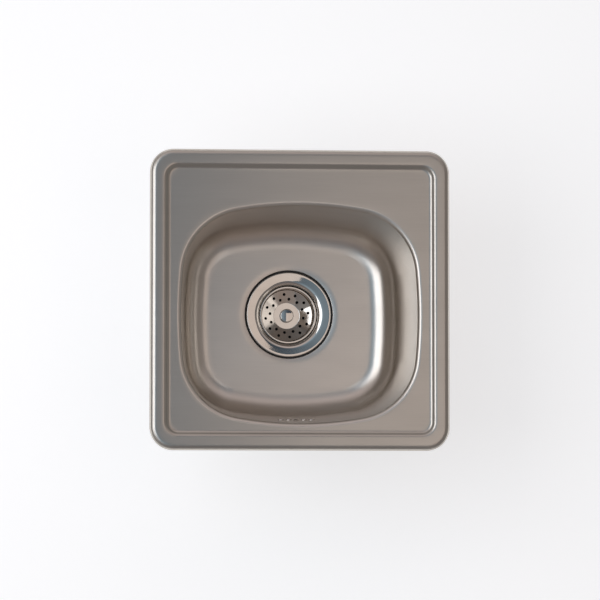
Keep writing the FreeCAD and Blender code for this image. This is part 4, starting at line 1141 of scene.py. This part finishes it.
@dataclass
class BasketWaste:
    """The flange and cup, the funnel under it and the basket in it."""

    level: float = -149.5
    drill_length: float = 24
    cup_sheet: float = 1
    flange_radius: float = 55.2
    flange_rise: float = 1.5
    flange_slope: float = radians(5)
    washer: float = 1
    # How far the real washer shows past the flange: a black rubber ring that paints the shade of the
    # gap round the flange
    washer_clear: float = 3
    washer_squeeze_painted_shade: float = 1.2
    lip_radius: float = 45.2
    lip_bend: float = 12
    lip_tilt: float = radians(31)
    throat_bend: float = 4
    seat_radius: float = 35.6
    seat_depth: float = 36
    seat_fall: float = 4
    well_radius: float = 28.5
    well_depth: float = 46
    cup_holes: int = 6
    cup_hole: float = 4.5
    cup_hole_place: float = 17
    screw_hole: float = 3.3
    dish_sheet: float = 0.7
    dish_rim: float = 37.2
    dish_rim_depth: float = 7
    dish_rim_width: float = 2.6
    dish_wall_foot: float = 33.6
    dish_wall_depth: float = 21
    dish_cone_foot: float = 17
    dish_cone_depth: float = 29
    dish_hole: float = 1.9
    dish_holes: int = 12
    outer_ring: float = 28
    inner_ring: float = 22
    outer_turn: float = radians(7.5)
    inner_turn: float = radians(22.5)
    stem_radius: float = 4
    knob_radius: float = 8.9
    knob_height: float = 7
    knob_neck: float = 6
    knob_neck_height: float = 1.4
    knob_edge: float = 0.8
    knob_bend: float = 1.6
    knob_dome: float = 0.5
    cup_softness: float = 0.9
    dish_softness: float = 1.6
    knob_softness: float = 0.5
    outlet_radius: float = 23.9
    outlet_root: float = 22.8
    outlet_pitch: float = 2.31
    outlet_top: float = -236.8
    outlet_foot: float = -264.8
    band_clear: float = 2
    funnel_softness: float = 0.8

    @property
    def at(self) -> tuple[float, float, float]:
        """The middle of the flange's underside."""
        return 0, WASTE_Y, self.level

    def ring_of_rods(self, name: str, radius: float, reach: float, count: int, turn: float,
                     height: float) -> Object:
        """Upright drills set round the waste's axis.

        Args:
            name: the object's name.
            radius: radius of each drill.
            reach: distance of the drills from the axis.
            count: how many drills.
            turn: angle of the first one.
            height: height of their middle above the flange's underside.

        Returns:
            One object with all drills.
        """
        angles = [turn + tau * k / count for k in range(count)]
        places = [Matrix.Translation((reach * cos(angle), WASTE_Y + reach * sin(angle),
                                      self.level + height)) for angle in angles]
        return rods(name, radius, self.drill_length, places)

    def build_cup(self) -> None:
        """Build the pressed flange and cup with its drain holes."""
        t, slope, tilt = self.cup_sheet, self.flange_slope, self.lip_tilt
        edge = self.flange_radius - self.flange_rise
        lip_top = self.flange_rise - (edge - self.lip_radius) * tan(slope)
        turn_x = self.lip_radius - self.lip_bend * (sin(tilt) - sin(slope))
        turn_z = lip_top - self.lip_bend * (cos(slope) - cos(tilt))
        throat_x = turn_x - self.throat_bend * (1 - sin(tilt))
        throat_z = turn_z - self.throat_bend * cos(tilt)
        seat_foot = -self.seat_depth - self.seat_fall
        path = Path(self.flange_radius, 0)
        path.arc(edge, self.flange_rise, self.flange_rise, 1, 10).line(self.lip_radius, lip_top, 4)
        path.arc(turn_x, turn_z, self.lip_bend, 1, 10).arc(throat_x, throat_z, self.throat_bend, 1, 12)
        path.line(self.seat_radius, -self.seat_depth, 4).line(self.well_radius, seat_foot)
        path.line(self.well_radius, -self.well_depth).line(self.screw_hole, -self.well_depth)
        path.line(self.screw_hole, -self.well_depth - t)
        path.line(self.well_radius + t, -self.well_depth - t)
        path.line(self.well_radius + t, seat_foot - t / 2)
        path.line(self.seat_radius + t, -self.seat_depth - t / 2).line(throat_x + t, throat_z, 4)
        path.arc(turn_x + t * sin(tilt), turn_z - t * cos(tilt), self.throat_bend - t, -1, 8)
        path.arc(self.lip_radius + t * sin(slope), lip_top - t * cos(slope),
                 self.lip_bend - t, -1, 8)
        cup = lathe("flange_and_cup", softened(path.points, self.cup_softness), self.at, 180)
        carve(cup, self.ring_of_rods("cup_drills", self.cup_hole, self.cup_hole_place, self.cup_holes,
                                     0, -self.well_depth))
        smooth(cup)
        dress(cup, Slot.POLISHED, "sink", ["waste_cup"])

    def build_washer(self) -> None:
        """Build the rubber washer, squeezed out a little round the flange's edge."""
        inner, edge = WASTE_HOLE + self.washer_clear, self.flange_radius
        outer = edge + self.washer_squeeze_painted_shade
        path = Path(inner, -self.washer).line(outer, -self.washer).line(outer, 0)
        path.arc(edge, 0, self.washer_squeeze_painted_shade / 2, 1, 8).line(inner, 0)
        dress(lathe("flange_washer", path.points, self.at, 180), Slot.SEAL, "sink", ["flange_seal"])

    def build_dish(self) -> None:
        """Build the perforated basket."""
        t, rim, under = self.dish_sheet, -self.dish_rim_depth, -self.dish_cone_depth - self.dish_sheet
        rim_inner = self.dish_rim - self.dish_rim_width
        path = Path(self.dish_rim, rim - t)
        path.arc(self.dish_rim - t, rim, t, 1, 8).line(rim_inner, rim)
        path.line(self.dish_wall_foot, -self.dish_wall_depth)
        path.line(self.dish_cone_foot, -self.dish_cone_depth, 4)
        path.line(self.stem_radius, -self.dish_cone_depth).line(self.stem_radius, under)
        path.line(self.dish_cone_foot, under, 1)
        path.line(self.dish_wall_foot + t, -self.dish_wall_depth - t / 2, 4)
        path.line(rim_inner + t, rim - t)
        dish = lathe("perforated_basket", softened(path.points, self.dish_softness), self.at, 180)
        middle = -(self.dish_wall_depth + self.dish_cone_depth) / 2
        for name, reach, turn in (("outer", self.outer_ring, self.outer_turn),
                                  ("inner", self.inner_ring, self.inner_turn)):
            carve(dish, self.ring_of_rods(f"{name}_drills", self.dish_hole, reach, self.dish_holes,
                                          turn, middle))
        smooth(dish)
        dress(dish, Slot.POLISHED, "basket", ["basket_dish"])

    def build_knob(self) -> None:
        """Build the knob with its slightly domed top."""
        foot = -self.dish_cone_depth
        neck, top = foot + self.knob_neck_height, foot + self.knob_height
        shoulder, crown = top - self.knob_dome, self.knob_radius - self.knob_bend
        dome = (crown ** 2 + self.knob_dome ** 2) / (2 * self.knob_dome)
        path = Path(self.stem_radius, foot).line(self.knob_neck, foot).line(self.knob_neck, neck)
        path.line(self.knob_radius, neck + self.knob_edge)
        path.line(self.knob_radius, shoulder - self.knob_bend)
        path.arc(crown, shoulder, self.knob_bend, 1, 10).arc(0, top, dome, 1, 8)
        path.line(0, neck).line(self.stem_radius, neck)
        knob = lathe("pull_knob", softened(path.points, self.knob_softness), self.at, 96)
        dress(knob, Slot.POLISHED, "basket", ["basket_knob"])

    def build_funnel(self) -> None:
        """Build the moulded funnel, with its outlet turned down to the root of a thread."""
        funnel = rounded_copy("waste_body", "waste_funnel", self.funnel_softness)
        settle(funnel)
        top, foot = self.outlet_top, self.outlet_foot
        outside = self.outlet_radius + self.band_clear
        band = lathe("band", [(self.outlet_root, foot), (outside, foot), (outside, top),
                              (self.outlet_root, top)], (0, WASTE_Y, 0))
        carve(funnel, band)
        smooth(funnel)
        dress(funnel, Slot.MOULDING, "sink", ["waste_body"])
        ridge = thread("outlet_thread", self.outlet_root, self.outlet_radius, self.outlet_pitch, foot,
                       top, 96)
        ridge.data.transform(Matrix.Translation((0, WASTE_Y * MM, 0)))
        dress(ridge, Slot.MOULDING, "sink")

    def build(self) -> None:
        """Build the waste from the flange down, then the basket."""
        self.build_cup()
        self.build_washer()
        self.build_funnel()
        self.build_dish()
        self.build_knob()
        show_rounded("body_gasket", "funnel_washer", 0.7, Slot.SEAL)
        show_rounded("centre_screw", "clamping_screw", 0.3, Slot.ZINC)
        show_rounded("screw_insert", "brass_insert", 0.3, Slot.BRASS)
        show_rounded("basket_stem", "basket_pin", 0.4, Slot.STEM, "basket")
        show_rounded("stopper_retainer", "retaining_disc", 0.4, Slot.STEM, "basket")
        show_rounded("basket_stopper", "rubber_stopper", 0.6, Slot.SEAL, "stopper")


# The overflow


@dataclass
class Overflow:
    """The housing behind the front wall, its pipe and the two nuts."""

    pipe_y: float = -163.93
    pipe_top: float = -70.5
    pipe_low: float = -185.8
    pipe_end: float = -61.8
    pipe_bend: float = 30
    pipe_radius: float = 8
    pipe_wall: float = 1.5
    pipe_sides: int = 48
    head_mouth: float = -84.5
    body_mouth: float = -75.8
    nut_hole: float = 8.3
    nut_bore: float = 10.8
    nut_radius: float = 13.3
    nut_foot: float = -6.5
    nut_top: float = 8.5
    nut_floor: float = -4
    nut_ribs: int = 24
    rib_depth: float = 0.8
    nut_softness: float = 1.4

    def build_pipe(self) -> None:
        """Build the bent pipe with its bore."""
        route = Path(self.pipe_y, self.pipe_top).line(self.pipe_y, self.pipe_low + self.pipe_bend, 3)
        route.arc(self.pipe_y + self.pipe_bend, self.pipe_low, self.pipe_bend, 1, 24)
        route.line(self.pipe_end, self.pipe_low, 3)
        spots = np.array(route.points)
        ahead = np.gradient(spots, axis=0)
        ahead /= np.linalg.norm(ahead, axis=1)[:, None]
        angles = np.arange(self.pipe_sides) * tau / self.pipe_sides
        outside, inside = [], []
        sizes = ((outside, self.pipe_radius), (inside, self.pipe_radius - self.pipe_wall))
        for (y, z), (dy, dz) in zip(spots, ahead):
            for rings, radius in sizes:
                across = radius * np.sin(angles)
                rings.append(np.column_stack([radius * np.cos(angles), y - dz * across,
                                              z + dy * across]))
        pipe = skin("bent_pipe", outside + inside[::-1], closed=True)
        edit(pipe, face_outwards)
        smooth(pipe)
        dress(pipe, Slot.MOULDING, "sink", ["overflow_pipe"])

    def ribs(self, angle: float, radius: float) -> float:
        """Press the grip ribs into a nut.

        Args:
            angle: angle round the nut.
            radius: the plain nut's radius there.

        Returns:
            How far the surface moves out; grooves are negative.
        """
        if radius < self.nut_radius - self.rib_depth:
            return 0.0
        return -self.rib_depth * (0.5 + 0.5 * cos(self.nut_ribs * angle)) ** 2

    def build_nut(self, end: str, place: Matrix) -> None:
        """Build a compression nut.

        Args:
            end: which end of the pipe it is on.
            place: its place in millimetres, with the pipe along its own Z.
        """
        path = Path(self.nut_hole, self.nut_foot).line(self.nut_radius, self.nut_foot)
        path.line(self.nut_radius, self.nut_top).line(self.nut_bore, self.nut_top)
        path.line(self.nut_bore, self.nut_floor).line(self.nut_hole, self.nut_floor)
        nut = lathe(f"ribbed_nut_{end}", softened(path.points, self.nut_softness), segments=240,
                    ripple=self.ribs)
        place.translation *= MM
        nut.data.transform(place)
        dress(nut, Slot.MOULDING, "sink", [f"overflow_nut_{end}"])

    def build(self) -> None:
        """Build the housing, the pipe and its fittings."""
        show_rounded("overflow_head", "overflow_housing", 1.0, Slot.MOULDING)
        show_rounded("overflow_gasket", "housing_gasket", 0.4, Slot.SEAL)
        show_rounded("overflow_screw", "domed_screw", 0.15, Slot.POLISHED)
        show_rounded("overflow_seal_top", "cone_ring_top", 0.2, Slot.SEAL)
        show_rounded("overflow_seal_bottom", "cone_ring_bottom", 0.2, Slot.SEAL)
        self.build_pipe()
        self.build_nut("top", Matrix.Translation((0, self.pipe_y, self.head_mouth)))
        self.build_nut("bottom", Matrix.Translation((0, self.body_mouth, self.pipe_low))
                       @ Matrix.Rotation(-pi / 2, 4, "X"))


# The studio


@dataclass
class Lamp:
    """A soft panel that lights the sink, in metres."""

    name: str
    code: str
    radiance: float
    place: tuple[float, float, float]
    width: float
    height: float
    level: bool = False
    spares_floor: bool = False

    def build(self, unlit: bpy.types.Collection) -> None:
        """Hang the panel, level or facing the middle of the rim.

        Args:
            unlit: what the panel leaves unlit if it spares the floor.
        """
        light = bpy.data.lights.new(self.name, "AREA")
        light.shape = "RECTANGLE"
        light.size, light.size_y = self.width, self.height
        light.energy = self.radiance * pi * self.width * self.height
        light.color = colour(self.code)[:3]
        panel = bpy.data.objects.new(self.name, light)
        place = Vector(self.place)
        panel.matrix_world = Matrix.Translation(place) if self.level else facing(place, place)
        panel.visible_camera = False
        if self.spares_floor:
            panel.light_linking.receiver_collection = unlit
        bpy.context.scene.collection.objects.link(panel)


def facing(place: Vector, away: Vector) -> Matrix:
    """A transform whose +Z points away and whose +Y is as near to the frame's +Y as it can be.

    Args:
        place: where its origin goes.
        away: the direction of its +Z.

    Returns:
        The transform.
    """
    z = away.normalized()
    x = Vector((0, 1, 0)).cross(z).normalized()
    y = z.cross(x)
    turn = Matrix((x, y, z)).transposed().to_4x4()
    return Matrix.Translation(place) @ turn


class Patch(Enum):
    """The soft patches of light in the room."""

    OVERHEAD = "the ceiling"
    OVERHEAD_LEFT = "the ceiling's left part"
    HIGH_RIGHT = "the right wall"
    HIGH_BACK = "the back wall"
    HIGH_LEFT = "the left wall"
    HIGH_FRONT = "the front wall"
    LOW = "the foot of all four walls"


# Colour and radiance of each patch
ROOM = {
    Patch.OVERHEAD: ("#C8E2FF", 0.12),
    Patch.OVERHEAD_LEFT: ("#CEEAFF", 0.66),
    Patch.HIGH_RIGHT: ("#FFF5EE", 0.26),
    Patch.HIGH_BACK: ("#FFF2F1", 0.7),
    Patch.HIGH_LEFT: ("#FFFFFF", 0.31),
    Patch.HIGH_FRONT: ("#FFF5F7", 0.22),
    Patch.LOW: ("#FFFFFF", 0.27),
}
LAMPS = (
    Lamp("left_softbox", "#F8FAFF", 2.1, (-0.97, 0.085, 1.27), 1.05, 1.07),
    Lamp("ceiling_panel", "#FFEDE0", 0.8, (0.81, -0.28, 3.0), 1.3, 1.76, level=True),
    # The other four stand lower than the deck, so they light the sides and not the pressed face
    *(Lamp(f"{side}_panel", "#FFFFFF", 0.8, place, width, height, spares_floor=True)
      for side, place, width, height in (("right", (1.1, 0.0, -0.13), 0.24, 1.2),
                                         ("back", (0.0, 1.1, -0.13), 1.2, 0.24),
                                         ("left", (-1.1, 0.0, -0.13), 0.24, 1.2),
                                         ("front", (0.0, -1.1, -0.13), 1.2, 0.24))),
)


@dataclass
class Studio:
    """A white floor, soft panels, a pale room and the camera, in metres and degrees."""

    floor_height: float = -0.2662
    floor_radius: float = 30
    floor_sides: int = 64
    floor_code: str = "#F2F2F2"
    floor_glow: float = 0.5
    ceiling: tuple[float, float] = (0.80, 0.93)
    walls: tuple[float, float] = (0.15, 0.5)
    leftwards: tuple[float, float] = (0.2, -0.3)
    lean_left: float = 5.7
    lean_front: float = 3.6
    distance: float = 5
    lens: float = 237.8
    sensor: float = 36
    view_end: float = 100

    def build_floor(self) -> bpy.types.Collection:
        """Lay a round pale floor that keeps the sink's shadow.

        Returns:
            A collection that leaves the floor out, for the lamps that spare it.
        """
        angles = np.arange(self.floor_sides) * tau / self.floor_sides
        ring = [(self.floor_radius * cos(a), self.floor_radius * sin(a), self.floor_height)
                for a in angles]
        floor = new_object("studio_floor", np.array(ring) / MM, [range(self.floor_sides)])
        made = bpy.data.materials.new("painted_floor_white")
        made.use_nodes = True
        tree = made.node_tree
        tree.nodes.clear()
        rays = add_node(tree, "LightPath", {})
        seen = rays.outputs["Is Camera Ray"]
        for name in ("Is Glossy Ray", "Is Transmission Ray"):
            either = {0: seen, 1: rays.outputs[name]}
            seen = add_node(tree, "Math", {"operation": "MAXIMUM"}, either).outputs[0]
        paint = add_node(tree, "BsdfDiffuse", {"Color": colour(self.floor_code)})
        strength = add_node(tree, "Math", {"operation": "MULTIPLY", 1: self.floor_glow}, {0: seen})
        glow = add_node(tree, "Emission", {}, {"Strength": strength.outputs[0]})
        both = add_node(tree, "AddShader", {}, {0: paint.outputs[0], 1: glow.outputs[0]})
        add_node(tree, "OutputMaterial", {}, {"Surface": both.outputs[0]})
        floor.data.materials.append(made)
        unlit = bpy.data.collections.new("unlit_floor")
        unlit.objects.link(floor)
        unlit.collection_objects[0].light_linking.link_state = "EXCLUDE"
        return unlit

    def build_room(self) -> None:
        """Light the scene from a room of soft patches that run into each other."""
        world = bpy.data.worlds.new("soft_room")
        bpy.context.scene.world = world
        world.use_nodes = True
        tree = world.node_tree
        tree.nodes.clear()
        view = add_node(tree, "TexCoord", {}).outputs["Generated"]
        x, y, z = add_node(tree, "SeparateXYZ", {}, {0: view}).outputs

        def reckon(kind: str, *ends: Socket | float) -> Socket:
            """Reckon with sockets and numbers.

            Args:
                kind: the operation.
                ends: what it works on, in order.

            Returns:
                The result's socket.
            """
            numbers = {k: end for k, end in enumerate(ends) if isinstance(end, float)}
            sockets = {k: end for k, end in enumerate(ends) if not isinstance(end, float)}
            return add_node(tree, "Math", {"operation": kind, **numbers}, sockets).outputs[0]

        def rising(source: Socket, low: float, high: float) -> Socket:
            """Rise softly from 0 to 1 while the source goes from low to high."""
            return add_node(tree, "MapRange", {"interpolation_type": "SMOOTHSTEP", "From Min": low,
                                               "From Max": high}, {"Value": source}).outputs[0]

        above = rising(z, *self.ceiling)
        below = reckon("SUBTRACT", 1.0, rising(z, *self.walls))
        between = reckon("SUBTRACT", reckon("SUBTRACT", 1.0, above), below)
        leftwards = rising(x, *self.leftwards)
        shares = {Patch.OVERHEAD: reckon("MULTIPLY", above, reckon("SUBTRACT", 1.0, leftwards)),
                  Patch.OVERHEAD_LEFT: reckon("MULTIPLY", above, leftwards), Patch.LOW: below}
        flat = reckon("ADD", reckon("ADD", reckon("MULTIPLY", x, x), reckon("MULTIPLY", y, y)), 1e-6)
        for axis, sense, patch in ((x, 1.0, Patch.HIGH_RIGHT), (y, 1.0, Patch.HIGH_BACK),
                                   (x, -1.0, Patch.HIGH_LEFT), (y, -1.0, Patch.HIGH_FRONT)):
            reach = reckon("MAXIMUM", reckon("MULTIPLY", axis, sense), 0.0)
            sector = reckon("DIVIDE", reckon("MULTIPLY", reach, reach), flat)
            shares[patch] = reckon("MULTIPLY", between, sector)
        total = None
        for patch, share in shares.items():
            code, radiance = ROOM[patch]
            light = {"operation": "SCALE", 0: [channel * radiance for channel in colour(code)[:3]]}
            lit = add_node(tree, "VectorMath", light, {"Scale": share}).outputs[0]
            if total is not None:
                lit = add_node(tree, "VectorMath", {"operation": "ADD"}, {0: total, 1: lit}).outputs[0]
            total = lit
        glow = add_node(tree, "Background", {"Strength": 1.0}, {"Color": total})
        add_node(tree, "OutputWorld", {}, {"Surface": glow.outputs[0]})

    def build_camera(self) -> None:
        """Put the camera far above the sink, leaning a little to the left and the front."""
        lens = bpy.data.cameras.new("long_lens")
        lens.lens, lens.sensor_width = self.lens, self.sensor
        lens.clip_end = self.view_end
        camera = bpy.data.objects.new("camera", lens)
        left, front = radians(self.lean_left), radians(self.lean_front)
        away = Vector((-sin(left), -sin(front), 1)).normalized()
        camera.matrix_world = facing(away * self.distance, away)
        bpy.context.scene.collection.objects.link(camera)
        bpy.context.scene.camera = camera

    def build(self) -> None:
        """Build the room, the panels, the floor and the camera."""
        self.build_camera()
        unlit = self.build_floor()
        self.build_room()
        for lamp in LAMPS:
            lamp.build(unlit)
        settings = bpy.context.scene.view_settings
        settings.view_transform = "Standard"


def main() -> None:
    """Build everything in order and report each piece."""
    logging.basicConfig(level=logging.INFO, format="%(message)s")
    Studio().build()
    for unit in (BowlUnit(), Fixings(), BasketWaste(), Overflow()):
        log.info("building: %s", type(unit).__doc__)
        unit.build()


if __name__ == "__main__":
    main()
